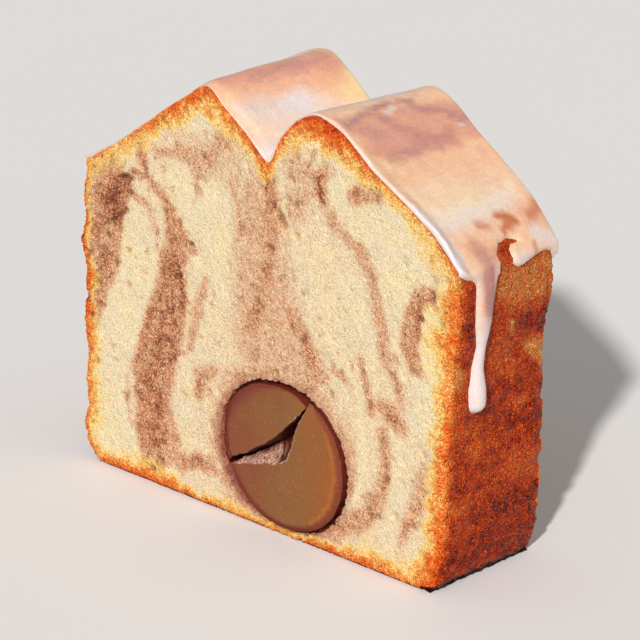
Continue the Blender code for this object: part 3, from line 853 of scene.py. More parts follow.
def browning_at(x, z, depth, wobble):
    """How browned a spot on a cut face is: 0 in the crumb, about 0.4 yellow, 1 the darkest crust."""
    heights = np.arange(60)
    left = np.array([side_at(LEFT_SIDE, h, depth) for h in heights])
    right = np.array([side_at(RIGHT_SIDE, h, depth) for h in heights])
    slope = 0.78
    edges = (
        (BROWNED_TOP, x, (top_height(x, depth) - z) * slope),
        (BROWNED_LEFT, z, x - np.interp(z, heights, left)),
        (BROWNED_RIGHT, z, np.interp(z, heights, right) - x),
        (BROWNED_FOOT, x, z),
    )
    browning = np.zeros(len(x))
    for rows, place, away in edges:
        width, most = (on_line(rows, place, k) for k in (1, 2))
        inside = np.clip(1.0 - away / (1.15 * width * (1.0 + 0.5 * wobble)), 0.0, 1.0)
        browning = np.maximum(browning, most * inside**0.9)
    return browning


def pores_at(points, cocoa, seed):
    """Depth of the small open pores at points of a cut face."""
    spread = random.Random(seed)
    tree = kdtree.KDTree(len(points))
    for i, (x, z) in enumerate(points):
        tree.insert((x, z, 0.0), i)
    tree.balance()
    depth = np.zeros(len(points))
    low, high = points.min(axis=0), points.max(axis=0)
    for _ in range(PORES):
        x, z = spread.uniform(low[0], high[0]), spread.uniform(low[1], high[1])
        nearest = tree.find((x, z, 0.0))[1]
        radius = 0.30 + 0.45 * spread.random() ** 5
        squash = spread.uniform(0.7, 1.4)
        if spread.random() > 0.12 + cocoa[nearest]:
            continue
        for place, i, _ in tree.find_range((x, z, 0.0), radius * 1.4):
            away = math.hypot((place.x - x) * squash, (place.y - z) / squash) / radius
            if away < 1.0:
                depth[i] = max(depth[i], radius * (1.0 - away * away))
    return depth


def marbling_at(places, depth):
    """Share of cocoa batter at every point; the streaks drift on their way to the back cut."""
    x, _, z = places.T
    wave, far = MARBLE_DRIFT
    drift = np.clip(depth, 0.0, 1.0) * far
    shift_x = drift * noise_at(places, wave, seed=1)
    shift_z = drift * noise_at(places, wave, seed=2)
    for k, (wave, far) in enumerate(STREAK_WOBBLE):
        shift_x = shift_x + far * noise_at(places, wave, seed=3 + 2 * k)
        shift_z = shift_z + far * noise_at(places, wave, seed=4 + 2 * k)
    cocoa = painted(np.stack((x + shift_x, z + shift_z), 1), BATTER, COCOA_STROKES)
    return cocoa + (0.05 + 0.25 * cocoa) * noise_at(places, 2.6, 2, seed=8)


def baking_at(places, front, back, outer):
    """Browning at every point: 0 in the crumb, and round the foot a painted contact shadow darker than any
    crust.
    """
    x, y, z = places.T
    wobble = noise_at(places, 2.8, 2, seed=9)
    seen = np.stack((y + 0.9 * wobble, z + 0.9 * noise_at(places, 3.4, 2, seed=15)), 1)
    bake = np.where(outer, SIDE_BAKE + 0.25 * noise_at(places, 7.0, 2, seed=10), 0.0)
    right = outer & (x > SIDES_FROM) & (z < SHOULDER + 3)
    left = outer & (x < -SIDES_FROM) & (z < SHOULDER)
    bake[right] = painted(seen[right], SIDE_BAKE, SIDE_BAKE_STROKES)
    bake[outer & (z < 0.6)] = 0.95
    bake[left] = painted(seen[left] + LEFT_SIDE_SHIFT, SIDE_BAKE, SIDE_BAKE_STROKES)
    for side, at in ((front, 0.0), (back, 1.0)):
        bake[side] = browning_at(x[side], z[side], at, wobble[side])
    bake[front] = painted(np.stack((x, z), 1)[front], bake[front], YELLOW_SPOTS)
    bake = 0.87 * bake * (1.0 + 0.20 * noise_at(places, 1.7, 2, seed=16))
    bake = np.minimum(bake, DARKEST_BAKE)
    # Painted contact shadow: a near-black band along the foot, wider on the right side.
    rim = z < 0.25 + 0.55 * (x > 36) + 0.2 * wobble
    bake[rim & (z < 1.4)] = FOOT_SHADOW
    return bake


def crust_relief(places, outer):
    """Bumps of the baked crust, flatter where the icing lies on it, and the share of grain there."""
    x, y, z = places.T
    bumps = 0.26 * noise_at(places, 2.2, 2, seed=13) + 0.16 * noise_at(places, 0.9, seed=14) - 0.16
    bumps[outer & (z > SHOULDER + 1.0)] *= 0.4
    hang = stroke_distance(np.stack((y, z - SHOULDER), 1), DRIP)
    right = outer & (x > SIDES_FROM)
    bumps[right & ((hang < DRIP_MARGIN) | (z > SHOULDER - 2.5))] = -0.12
    smooth = right & ((hang < DRIP_MARGIN) | (z > SHOULDER - 1.0))
    return bumps, np.where(smooth, 0.1, 1.0)


def wear_at(places, depth, front, back):
    """Worn corners between the cuts and the sides: distance from the corner, and three ways of wear."""
    x, y, z = places.T
    shares = np.clip(depth, 0.0, 1.0)
    right, left = (
        blend(on_line(rows, z, 1), on_line(rows, z, 2), shares) for rows in (RIGHT_SIDE, LEFT_SIDE))
    away = np.where(front | back, np.minimum(right - x, x - left), np.minimum(y - FRONT, BACK - y))
    below = np.clip((SHOULDER - 0.4 - z) / 1.2, 0.0, 1.0)
    wear = 0.70 + 0.4 * noise_at(places, 2.4, 2, seed=19) + 0.12 * noise_at(places, 1.2, seed=21)
    lighter = np.where(y > 0.0, BACK_WEAR, np.where(x < 0.0, LEFT_WEAR, 1.0))
    wear = np.clip(wear, 0.15, 1.5) * below * lighter
    foot = FOOT_WEAR * np.clip(1.0 - z / 0.9, 0.0, 1.0) ** 2
    near = np.clip(1.0 - away / WEAR_REACH, 0.0, 1.0)
    bite = BITE * np.clip(noise_at(places, 3.4, seed=23), 0.0, 1.0) * below * np.clip(z / 3.0, 0.0, 1.0)
    bite = bite * np.where(back, np.clip(1.0 - away / 3.0, 0.0, 1.0), np.clip((y - 9.5) / 3.0, 0.0, 1.0))
    return away, wear * near**2 + foot, (wear + foot) * near, bite


def make_crumb(look):
    bm = cut_cube(CRUMB_STEPS)
    for vertex in bm.verts:
        across, depth, up = vertex.co
        vertex.co = crumb_at(across, up, depth)
    bmesh.ops.recalc_face_normals(bm, faces=bm.faces)
    bm = carve_hollow(bm)
    bm.normal_update()
    lay_out_crumb(bm)

    verts = list(bm.verts)
    places = np.array([v.co for v in verts])
    normals = np.array([v.normal for v in verts])
    x, y, z = places.T
    depth = (y - FRONT) / THICKNESS
    front = y < FRONT + ON_CUT
    back = y > BACK - ON_CUT
    scale = 1.0 - (1.0 - CHESTNUT_BACK_SCALE) * np.clip(depth, 0.0, 1.0) ** CHESTNUT_TAPER
    across, up = ((p - c) / r for p, c, r in zip((x, z), CHESTNUT_CENTRE, CHESTNUT_RADII))
    oval = np.hypot(across, up)
    hollow = (oval / scale < HOLLOW_GROWTH + 0.03) & ~front & ~back
    outer = ~front & ~back & ~hollow

    cocoa = marbling_at(places, depth)
    bake = baking_at(places, front, back, outer)
    near = np.clip((1.17 - oval / scale) / 0.14, 0.0, 1.0)
    tear = 0.35 * noise_at(places, 1.1, 2, seed=17)
    # Real syrup stain round the hole; on the hollow's own wall the full colour is partly a syrup stain and
    # partly painted shade in the recess.
    stain = np.where(hollow, 1.0, near * (0.55 + 0.3 * (x < -4) + tear))

    pit = np.zeros(len(verts))
    grains = np.random.default_rng(7).normal(size=(len(verts), 3))
    for side, seed in ((front, 5), (back, 6)):
        spots = np.stack((x[side], z[side]), 1)
        pit[side] = pores_at(spots, cocoa[side], seed)
        pit[side] = np.maximum(pit[side], 1.5 * stroke_depth(spots, TORN_HOLES))
    coarse = 0.05 * noise_at(places, 1.3, 2, seed=11) + 0.12 * noise_at(places, 3.6, 2, seed=12)
    bumps, kept_grain = crust_relief(places, outer)
    grain = (0.04 + 0.09 * np.clip(cocoa, 0.0, 1.0) + 0.055 * np.clip(bake, 0.0, 1.0)) * kept_grain
    away, worn, slide, bite = wear_at(places, depth, front, back)
    bumps *= np.where(z < SHOULDER, np.clip(away / 1.2, 0.0, 1.0), 1.0)
    rim = (front | back) & (oval / scale < HOLLOW_GROWTH + 0.10)
    torn = 0.20 + 0.34 * noise_at(places, 0.9, 2, seed=18)
    for i, vertex in enumerate(verts):
        if front[i] or back[i]:
            inwards = 1.0 if front[i] else -1.0
            relief = max(coarse[i] + grain[i] * grains[i][1] + 0.1, 0.0)
            vertex.co.y += inwards * (pit[i] + relief + worn[i])
            vertex.co.x -= math.copysign(slide[i] + bite[i], x[i])
            if rim[i]:
                outwards = vertex.co - Vector((CHESTNUT_CENTRE[0], vertex.co.y, CHESTNUT_CENTRE[1]))
                vertex.co += outwards.normalized() * max(torn[i], -0.1)
        elif hollow[i]:
            vertex.co += vertex.normal * coarse[i]
        else:
            vertex.co += Vector(normals[i]) * (bumps[i] + grain[i] * 0.8 * grains[i][0])
            if abs(normals[i][0]) > 0.6:
                vertex.co.x -= math.copysign(worn[i] + bite[i], x[i])
                vertex.co.y -= math.copysign(slide[i], y[i])
        vertex.co.z = max(vertex.co.z, 0.0)

    piece = add_piece("crumb", bm, crumb_finish(look))
    keep_levels(
        piece, cocoa=np.clip(cocoa, 0.0, 1.0), bake=np.clip(bake, 0.0, FOOT_SHADOW),
        stain=np.clip(stain, 0.0, 1.0), pit=np.clip(pit / 0.45, 0.0, 1.0), side=np.where(outer, 1.0, 0.0),
    )
    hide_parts("cake")
    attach(piece, "root")


def lay_out_crumb(bm):
    """UV map: both cuts side by side, with the sides, the foot, the top and the hollow below."""
    layer = bm.loops.layers.uv.new("OFBake")
    size = 190.0   # millimetres across the whole map
    centre_x, centre_z = CHESTNUT_CENTRE
    for face in bm.faces:
        middle = face.calc_center_median()
        across, up = (middle.x - centre_x) / CHESTNUT_RADII[0], (middle.z - centre_z) / CHESTNUT_RADII[1]
        away = math.hypot(across, up)
        turn = math.atan2(middle.z - centre_z, middle.x - centre_x)
        for loop in face.loops:
            x, y, z = loop.vert.co
            y -= FRONT
            if middle.y < FRONT + ON_CUT:
                u, v = x + 47, z + 1
            elif middle.y > BACK - ON_CUT:
                u, v = x + 141, z + 1
            elif away < 1.06 and face.normal.y < 0.9:
                angle = math.atan2(z - centre_z, x - centre_x)
                angle += 2 * math.pi * round((turn - angle) / (2 * math.pi))
                u, v = 140 + 13 * angle, y + 107
            elif middle.z < 0.3 and face.normal.z < -0.5:
                u, v = x + 47, y + 80
            elif middle.z > SHOULDER - 0.3 and abs(face.normal.x) < 0.95:
                u, v = x + 141, y + 80
            elif middle.x < 0:
                u, v = z + 2, y + 107
            else:
                u, v = z + 2, y + 134
            loop[layer].uv = (u / size, v / size)


# Icing

def icing_spot(step, depth):
    """Spot on the loaf under the icing, at a step from the left side's edge to the right's."""
    left, over, right = ICING_STEPS
    if step < left:
        hang = LEFT_HANG * (1.0 - step / left)
        return crumb_at(0.0, 1.0 - hang / top_at(0.0, depth)[1], depth)
    if step > left + over:
        hang = RIGHT_HANG * (step - left - over) / right
        return crumb_at(1.0, 1.0 - hang / top_at(1.0, depth)[1], depth)
    return crumb_at(even_across((step - left) / over), 1.0, depth)


def even_table():
    """Length of the top's line from the left shoulder to each of its points."""
    line = np.array([top_at(i / 400, 0.5) for i in range(401)])
    return np.concatenate(([0.0], np.cumsum(np.linalg.norm(np.diff(line, axis=0), axis=1))))


TOP_RUN = even_table()
TOP_LENGTH = TOP_RUN[-1]


def even_across(share):
    """Place across the top that lies that share of its length from the left shoulder."""
    return float(np.interp(share * TOP_LENGTH, TOP_RUN, np.linspace(0.0, 1.0, len(TOP_RUN))))


def softened(values, reach):
    """Rows averaged with their neighbours along the first axis."""
    offsets = np.arange(-3 * reach, 3 * reach + 1)
    weights = np.exp(-0.5 * (offsets / reach) ** 2)
    weights /= weights.sum()
    padded = np.pad(values, ((3 * reach, 3 * reach),) + ((0, 0),) * (values.ndim - 1), mode="edge")
    return sum(w * padded[k:k + len(values)] for k, w in enumerate(weights))


def icing_rows():
    """Distances of the sheet's rows from the front cut, closest round the drip."""
    return np.concatenate((
        [0.0, 0.1, 0.22, 0.4, 0.62], np.linspace(0.9, 3.5, 9)[:-1], np.linspace(3.5, 9.5, 41)[:-1],
        np.linspace(9.5, 24.1, 42), [24.4, 24.6, 24.78, 24.9, 25.0],
    ))


def sheet_directions(base):
    """Softened way out of the loaf at each spot, and how much it leans from the true one."""
    normal = np.cross(np.gradient(base, axis=0), np.gradient(base, axis=1))
    normal /= np.linalg.norm(normal, axis=2, keepdims=True)
    soft = softened(normal, 5)
    soft /= np.linalg.norm(soft, axis=2, keepdims=True)
    lean = np.clip((soft * normal).sum(axis=2), 0.6, 1.0)
    return soft.reshape(-1, 3), lean.reshape(-1)


def sheet_thickness(places, from_left, from_right):
    """Thickness of the icing at each spot; it is below 0 outside the sheet's edge."""
    x, y, _ = places.T
    spots = np.stack((y, from_right), 1)
    ragged = 0.16 * noise_at(places, 2.4, 2, seed=20)
    inside = np.minimum(from_right - on_line(RIGHT_EDGE, y), from_left - on_line(LEFT_EDGE, y)) + ragged
    inside = np.minimum(inside, stroke_distance(spots, ICING_GAP))

    cleft = np.interp(CLEFT_PLACE / (len(TOP_FRONT) - 1), np.linspace(0, 1, len(TOP_RUN)), TOP_RUN)
    sheet = SHEET + 0.10 * noise_at(places, 6.0, 2, seed=21)
    sheet += CLEFT_POOL * np.exp(-((from_left - cleft) / 4.0) ** 2)
    at_cut = on_line(CUT_RIM, x) * (1.0 + 0.25 * noise_at(places, 3.0, 2, seed=22))
    sheet = blend(at_cut, sheet, smooth_step((y - FRONT - 0.3) / 2.2))
    edge = np.clip(inside / EDGE_ROUND, 0.0, 1.0)
    thickness = np.where(inside > 0, sheet * np.sqrt(1.0 - (1.0 - edge) ** 2), inside)

    drip = np.full(len(places), -9.0)
    for a, b in zip(DRIP, DRIP[1:]):
        share, away = beside(spots, a, b)
        away = away / blend(a[2], b[2], share)
        dome = np.clip(1.0 - away**2, 0.0, 1.0) ** 0.7 * blend(a[3], b[3], share)
        drip = np.maximum(drip, np.where(away < 1.0, dome, (1.0 - away) * 1.6))
    mixed = np.clip(0.5 + 0.5 * (drip - thickness) / DRIP_JOIN, 0.0, 1.0)
    thickness = blend(thickness, drip, mixed) + DRIP_JOIN * mixed * (1.0 - mixed)

    cut = np.minimum(y - FRONT, BACK - y)
    rounding = np.sqrt(1.0 - (1.0 - np.clip(cut / 0.5, 0.0, 1.0)) ** 2)
    thickness = np.where(thickness > 0, thickness * blend(0.55, 1.0, rounding), thickness)
    return np.clip(thickness, OUTSIDE, None)


def make_icing(look):
    left, over, right = ICING_STEPS
    steps = left + over + right
    rows = icing_rows()
    base = np.array([[icing_spot(i, d) for d in rows / rows[-1]] for i in range(steps + 1)])
    out, lean = sheet_directions(base)
    places = base.reshape(-1, 3)
    step = np.repeat(np.arange(steps + 1), len(rows))
    from_left = (step - left) * np.where(step < left, LEFT_HANG / left, TOP_LENGTH / over)
    from_right = (left + over - step) * np.where(step > left + over, RIGHT_HANG / right, TOP_LENGTH / over)
    thickness = sheet_thickness(places, from_left, from_right)

    bm = bmesh.new()
    bmesh.ops.create_grid(bm, x_segments=steps, y_segments=len(rows) - 1, size=0.5)
    row_of = bm.verts.layers.int.new("row")
    for vertex in bm.verts:
        i = round((vertex.co.x + 0.5) * steps)
        j = round((vertex.co.y + 0.5) * (len(rows) - 1))
        vertex[row_of] = i * len(rows) + j
    outside = thickness <= OUTSIDE + 0.01
    bare = [f for f in bm.faces if all(outside[v[row_of]] for v in f.verts)]
    bmesh.ops.delete(bm, geom=bare, context="FACES")
    made = bmesh.ops.extrude_face_region(bm, geom=list(bm.faces), use_keep_orig=True)["geom"]
    lifted = {g for g in made if isinstance(g, bmesh.types.BMVert)}
    for vertex in bm.verts:
        k = vertex[row_of]
        lift = thickness[k] / lean[k] if vertex in lifted else -ICING_ROOT
        vertex.co = places[k] + out[k] * lift
        if vertex not in lifted:
            vertex.co.y = min(max(vertex.co.y, FRONT + ROOT_INSET), BACK - ROOT_INSET)
    bmesh.ops.recalc_face_normals(bm, faces=bm.faces)
    order = [v[row_of] for v in bm.verts]

    tints = icing_tints(places, thickness, from_right)
    piece = add_piece("sugar_icing", bm, icing_finish(look), sharp=75.0)
    keep_levels(piece, **{name: values[order] for name, values in tints.items()})
    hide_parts("icing")
    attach(piece, "root")


# Tints of the icing seen from above, as strokes of (x, y, half width).
TOAST_STROKES = (
    (0.70, 6.0, ((-11, -8, 3), (-9, 0, 4), (-7, 9, 4))),
    (0.95, 2.5, ((-12, -10, 1.4), (-11, -3, 1.4), (-10, 3, 1.6), (-8.5, 10, 1.8))),
    (0.90, 3.0, ((-7, 9, 1.5), (-5.5, 12.4, 1.4))),
    (0.20, 4.0, ((-4, -9, 3), (-2, 0, 2.6), (1, 9, 3), (2, 12, 3))),
    (0.30, 4.0, ((9, -11, 2.4), (11, 0, 2.4), (13, 11, 2.2))),
    (0.90, 3.0, ((17.6, -11, 1.6), (19.6, -4, 3.4), (20.6, 4, 3.6), (22, 12, 3.4))),
    (0.98, 3.0, ((22, -9, 1.6), (23.5, -2, 2.0), (24, 6, 2.0))),
    (0.50, 4.0, ((27, -12, 1.6), (27.4, 0, 2.2), (28.6, 12, 2.2))),
    (0.30, 3.0, ((31, -12, 1.8), (32, 0, 2.2), (33, 12, 2.2))),
    (0.06, 3.0, ((35.4, -12, 1.8), (36, -4, 2.0), (35.5, 4, 1.6), (34.8, 9, 0.8))),
    (0.60, 2.4, ((38.4, 12, 1.6), (37.4, 8, 1.2))),
    (0.80, 2.4, ((41.5, -6, 1.6), (42.5, -2, 1.4))),
    (0.80, 3.0, ((-20.4, -11, 1.8), (-21.4, -2, 2.4), (-20.4, 8, 2.2))),
    (0.25, 3.0, ((-26, -12, 2.0), (-27, 0, 2.6), (-28, 12, 2.4))),
    (0.75, 3.0, ((-34, -10, 1.6), (-33, 0, 2.4), (-34, 10, 1.8))),
    (0.12, 3.0, ((-39, -10, 1.5), (-39.6, 2, 2.0), (-39, 11, 1.6))),
)
BLUSH_STROKES = (
    (0.55, 3.0, ((-10.6, -4, 0.9), (-9.6, 4, 1.2), (-7.6, 10, 1.0))),
    (0.30, 3.0, ((-6, -8, 1.2), (-4.6, -4, 1.2))),
    (0.26, 2.6, ((9, -11, 1.2), (11, -2, 1.2), (13, 6, 1.0))),
    (0.85, 1.8, ((17.2, -10.5, 0.5), (16.4, -6, 0.7), (15.8, -2.0, 0.9), (15.6, 2.5, 0.7), (16.4, 5, 0.5))),
    (0.72, 1.8, ((16.2, 3, 0.7), (18.2, 5, 0.8), (20.0, 8, 0.7), (21.6, 11.5, 0.8))),
    (0.66, 2.0, ((17.2, -3.4, 0.8), (19.6, -2.6, 1.0), (22, 0.4, 0.9), (24.7, 3.0, 0.6))),
    (0.60, 2.0, ((24.2, -7.5, 1.0), (23.5, -2.5, 1.0), (23.2, 2.5, 0.8), (23.0, 7.5, 0.8))),
    (0.45, 2.0, ((19.4, -9, 1.2), (20.2, -6, 1.0))),
    (0.55, 2.4, ((41.4, -5.4, 1.3), (43.4, -5.6, 1.3))),
    (0.70, 2.0, ((-20.4, -9, 0.8), (-21.6, -3, 1.2), (-20.2, 2, 0.8))),
    (0.60, 2.0, ((-33, -4, 1.0), (-34.6, 2, 1.4), (-33.4, 8, 0.8))),
    (0.45, 2.2, ((-27, 4, 0.9), (-24, 7, 1.2))),
)
MILK_STROKES = (
    (0.60, 4.0, ((-7, -10, 1.4), (-4.6, -5, 2.4), (-3, 3, 1.6))),
    (1.00, 2.5, ((-4.8, -2, 1.2), (-4.2, 1, 1.4))),
    (0.80, 4.0, ((1.2, -12, 3), (2.5, 0, 3), (3.8, 12, 2))),
    (0.85, 3.0, ((9.4, -12, 2.6), (10.6, -3, 2.4), (12.6, 6, 1.4))),
    (0.80, 1.0, ((17.4, -1.4, 0.3), (16.8, 0.6, 0.35))),
    (0.70, 0.8, ((22.4, 9.6, 0.3), (22.6, 10.4, 0.3))),
    (0.50, 3.0, ((37.4, -9, 1.4), (37, -4, 1.6), (36.4, 1, 1.2), (35.6, 8, 0.8))),
    (1.00, 1.0, ((33, -12.3, 0.4), (36.4, -12, 0.7), (39, -11.4, 1.1), (41.4, -11.1, 1.3), (44, -12, 0.9))),
    (0.80, 2.0, ((40.4, 8.6, 1.2), (41.4, 11, 1.2))),
    (0.70, 3.0, ((-26, -11, 1.2), (-27, -3, 1.8), (-28.4, 6, 1.4))),
    (0.80, 2.0, ((-39.6, -9, 1.0), (-40.4, 0, 1.2), (-39.4, 9, 1.2))),
)
HONEY_STROKES = (
    (0.75, 3.0, ((-4.4, 12.4, 1.4), (-2.2, 12.4, 1.6), (-2.4, 9, 0.8))),
    (0.30, 4.0, ((33, -10, 1.4), (34, 2, 1.4))),
)
BARE_STROKES = (
    (0.90, 1.0, ((37.5, 2.6, 0.5), (37.8, 4.4, 0.8), (38.2, 5.6, 0.5))),
    (0.66, 1.4, ((38.4, -2.2, 0.6), (38.6, -0.8, 0.5))),
    (0.66, 2.0, ((37.2, 11.8, 1.0), (38.2, 9, 0.7))),
    (0.84, 1.2, ((38.4, 4.6, 0.6), (39.2, 3.6, 0.8), (39.8, 2.4, 0.5))),
    (0.60, 1.0, ((42.2, 6.8, 0.5), (41.6, 7.2, 0.3))),
    (0.66, 1.4, ((-38, 4.0, 0.6), (-39.2, 5.2, 0.5))),
)
# Tints of the icing that hangs down the right side, as strokes of (y, height above the shoulder
# line, half width).
HANG_MILK = (
    (0.95, 3.0, ((-6, -24, 2.4), (-6, -17, 2.4), (-5.9, -12.5, 2.4))),
    (0.62, 3.0, ((-5.8, -8, 2.4),)),
    (0.10, 2.0, ((-5.2, 1, 2.0), (-5.2, -6, 2.0))),
    (0.45, 1.2, ((-3.6, 1, 0.6), (-3.9, -4, 0.5))),
    (0.90, 1.6, ((2.6, -0.6, 0.9), (6, 1.6, 1.2), (10, 1.8, 1.4))),
    (1.00, 1.2, ((-12.4, 1.6, 1.0), (-10.8, 0.6, 0.7))),
)
HANG_TOAST = (
    (1.00, 1.6, ((-5.6, 3.5, 1.6), (-5.3, -2, 1.7), (-5.2, -6, 1.4), (-5.4, -9, 0.9))),
    (0.80, 1.0, ((-4.3, -7, 0.3), (-4.4, -11, 0.2))),
)
HANG_BARE = (
    (0.34, 1.0, ((-4.9, 3.0, 0.4), (-4.8, -3.0, 0.45), (-4.5, -7.5, 0.3))),
    (0.26, 0.9, ((-6.8, 2.0, 0.3), (-6.5, -4.5, 0.3))),
)
HANG_BLUSH = (
    (0.85, 1.6, ((-5.6, 2.2, 0.8), (-5.4, -3, 1.2), (-5.0, -6.6, 1.3))),
    (0.40, 2.0, ((-6.8, 0, 0.8), (-7, -4, 0.6))),
    (0.25, 1.5, ((-6, -10, 0.8), (-5.6, -12, 0.5))),
)

# Milkiness of the sheet's rim along the main cut, as (x, share of white).
MILKY_RIM = ((-44, 0.8), (-38, 0.5), (-14, 0.3), (4, 0.6), (14, 0.55), (30, 0.7), (34, 1.0))


def icing_tints(places, thickness, from_right):
    """Share of each tint at every spot of the icing."""
    x, y, _ = places.T
    bend = [
        0.7 * noise_at(places, 4.5, 2, seed=30 + k) + 0.25 * noise_at(places, 1.3, 2, seed=34 + k)
        for k in (0, 1)
    ]
    seen = np.stack((x + bend[0], y + bend[1]), 1)
    toast = painted(seen, 0.4, TOAST_STROKES)
    blush = painted(seen, 0.0, BLUSH_STROKES)
    milk = painted(seen, 0.12, MILK_STROKES)
    honey = painted(seen, 0.0, HONEY_STROKES)
    bare = painted(seen, 0.0, BARE_STROKES)
    hang = smooth_step(0.5 - from_right / 3.0)
    side = np.stack((y + bend[0], from_right + bend[1]), 1)
    milk = blend(milk, painted(side, 0.5, HANG_MILK), hang)
    blush = blend(blush, painted(side, 0.0, HANG_BLUSH), hang)
    toast = blend(toast, painted(side, 0.42, HANG_TOAST), hang)
    bare = np.maximum(bare, hang * painted(side, 0.0, HANG_BARE))
    milk = np.maximum(milk, smooth_step((thickness - 0.8) / 0.6) * (1.0 - 0.5 * hang))
    rim = smooth_step(1.0 - (y - FRONT) / 0.8)
    milk = np.maximum(milk, rim * on_line(MILKY_RIM, x))
    return {"toast": toast, "blush": blush, "milk": milk, "honey": honey, "bare": bare}


# Chestnut

def even_outline(points, spacing):
    """Closed outline through the points, with a point about every spacing millimetres."""
    line = []
    for a, b in zip(points, points[1:] + points[:1]):
        count = max(round(math.dist(a, b) / spacing), 1)
        line += [tuple(blend(p, q, k / count) for p, q in zip(a, b)) for k in range(count)]
    return line


def chestnut_rings():
    """Rings of a piece's skin, as (share of the way out from its middle, depth in the slice)."""
    face = [k / 20 for k in range(1, 19)] + [0.925, 0.95, 0.97, 0.985]
    rings = [(inset, 0.0) for inset in face] + [(1.0, 0.16 / THICKNESS), (1.0, 0.5 / THICKNESS)]
    rings += [(1.0, k / 34) for k in range(1, 34)]
    return rings + [(1.0, 1.0 - 0.16 / THICKNESS)] + [(inset, 1.0) for inset in reversed(face)]


def chestnut_piece(name, arc, skin_rows, front_break, deep_break, closes, centre, pale, material, node):
    """Piece of the chestnut, drawn as one skin from the middle of its front cut to its back cut."""
    skin = []
    for i in range(61):
        turn = blend(arc[0], arc[1], i / 60)
        ragged = 0.012 * noise.noise(Vector((turn / 6.0, 0.5, 0.5)))
        skin.append(oval_point(turn, float(on_line(skin_rows, turn)) + ragged))
    broken = [0.0] * len(skin) + [1.0] * len(front_break)
    near = even_outline([(*p, *q, b) for p, q, b in zip(
        skin + list(front_break), skin + list(deep_break), broken)], 0.42)
    bm = bmesh.new()
    end = bm.faces.new([bm.verts.new() for _ in near])
    layers = {n: bm.verts.layers.float.new(n) for n in ("rim", "rim_highlight", "broken", "syrup_and_shade", "warmth")}
    for number, (inset, depth) in enumerate(chestnut_rings()):
        if number:
            made = bmesh.ops.extrude_face_region(bm, geom=[end])["geom"]
            if number > 1:
                bmesh.ops.delete(bm, geom=[end], context="FACES_KEEP_BOUNDARY")
            end = next(g for g in made if isinstance(g, bmesh.types.BMFace))
        scale = tunnel_scale(depth)
        deep = min(depth / closes, 1.0)
        side = 0.0 < depth < 1.0
        for vertex, (x0, z0, x1, z1, edge) in zip(end.verts, near):
            # Place across the piece; the faces of the crack are jagged.
            x, z = blend(x0, x1, deep), blend(z0, z1, deep)
            jag = Vector((x, depth * THICKNESS, z))
            x += edge * (0.22 * noise.fractal(jag / 1.6, 1.0, 2.0, 3))
            z += edge * (0.30 * noise.fractal(jag / 1.3 + Vector((7, 7, 7)), 1.0, 2.0, 3))
            to_break = edge * (1.0 - inset) * math.dist((x, z), centre)
            x, z = blend(centre[0], x, inset), blend(centre[1], z, inset)

            # Depth under the skin, which the skin's colour on the flesh, the painted highlight line and the
            # rounded rim follow.
            across, up = ((p - c) / r for p, c, r in zip((x, z), CHESTNUT_CENTRE, CHESTNUT_RADII))
            turn = math.degrees(math.atan2(up, across))
            turn += 360.0 if turn < arc[0] - 20.0 else 0.0
            skin_depth = (float(on_line(skin_rows, turn)) - math.hypot(across, up)) * CHESTNUT_MEAN_RADIUS
            width = float(on_line(skin_rows, turn, 2)) * (1.0 + 0.25 * noise.noise(jag / 1.5))
            wave = 0.14 + 0.10 * noise.fractal(Vector((x, 7.0, z)) / 4.0, 1.0, 2.0, 2)
            wave += 0.30 * float(smooth_step(1.0 - skin_depth / 0.9))
            on_face = 0.8 * float(smooth_step(1.3 - skin_depth / width))
            vertex[layers["rim"]] = 1.0 - edge if side else on_face
            # Painted highlight: a bright orange line just inside the stained rim, on the right side of the
            # front cut only.
            rim_highlight = math.exp(-((skin_depth - width - 0.25) / 0.28) ** 2)
            vertex[layers["rim_highlight"]] = 0.75 * rim_highlight if -62 < turn < 40 and not side else 0.0

            # The crack's faces: pale and dry at the left, and deeper down and at the right dark with the
            # syrup colour, which is partly real syrup and partly painted shade in the crack.
            pale_face = edge * pale if side else pale * max(0.0, 1.0 - to_break / 0.5) * edge
            mottle = noise.noise(jag / 0.8)
            # Darker deeper into the crack and towards its right: partly syrup, partly painted shade.
            dark = float(smooth_step((depth * THICKNESS - 1.7) / 1.3 + 0.4 * mottle))
            dark = max(dark, float(smooth_step((x - 1.8) / 3.4 + 0.8 * mottle)))
            # Painted highlight: a small glint on the small piece's broken edge, laid in with the pale
            # broken colour.
            glint = edge * math.exp(-((x - 7.4) / 0.8) ** 2)
            glint *= (z > 20.0) * (to_break < 0.3) * (depth < 0.05)
            pale_face *= 1.0 - dark if side else 0.7
            vertex[layers["broken"]] = max(pale_face, 0.8 * glint * (1.0 - pale))
            vertex[layers["syrup_and_shade"]] = edge * (1.0 - pale * (1.0 - dark)) * (1.0 - glint) if side else 0.0
            vertex[layers["warmth"]] = 0.5 + 0.045 * (x - 6.0) - 0.02 * max(6.0 - z, 0.0) * (x < 10)
            x = CHESTNUT_CENTRE[0] + (x - CHESTNUT_CENTRE[0]) * scale
            z = CHESTNUT_CENTRE[1] + (z - CHESTNUT_CENTRE[1]) * scale
            y = FRONT + depth * THICKNESS
            y += {0.0: wave, 1.0: -wave}.get(depth, 0.0)
            vertex.co = (x, y, z)
    bmesh.ops.recalc_face_normals(bm, faces=bm.faces)
    piece = add_piece(name, bm, material, sharp=50.0)
    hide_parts(node)
    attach(piece, "root")


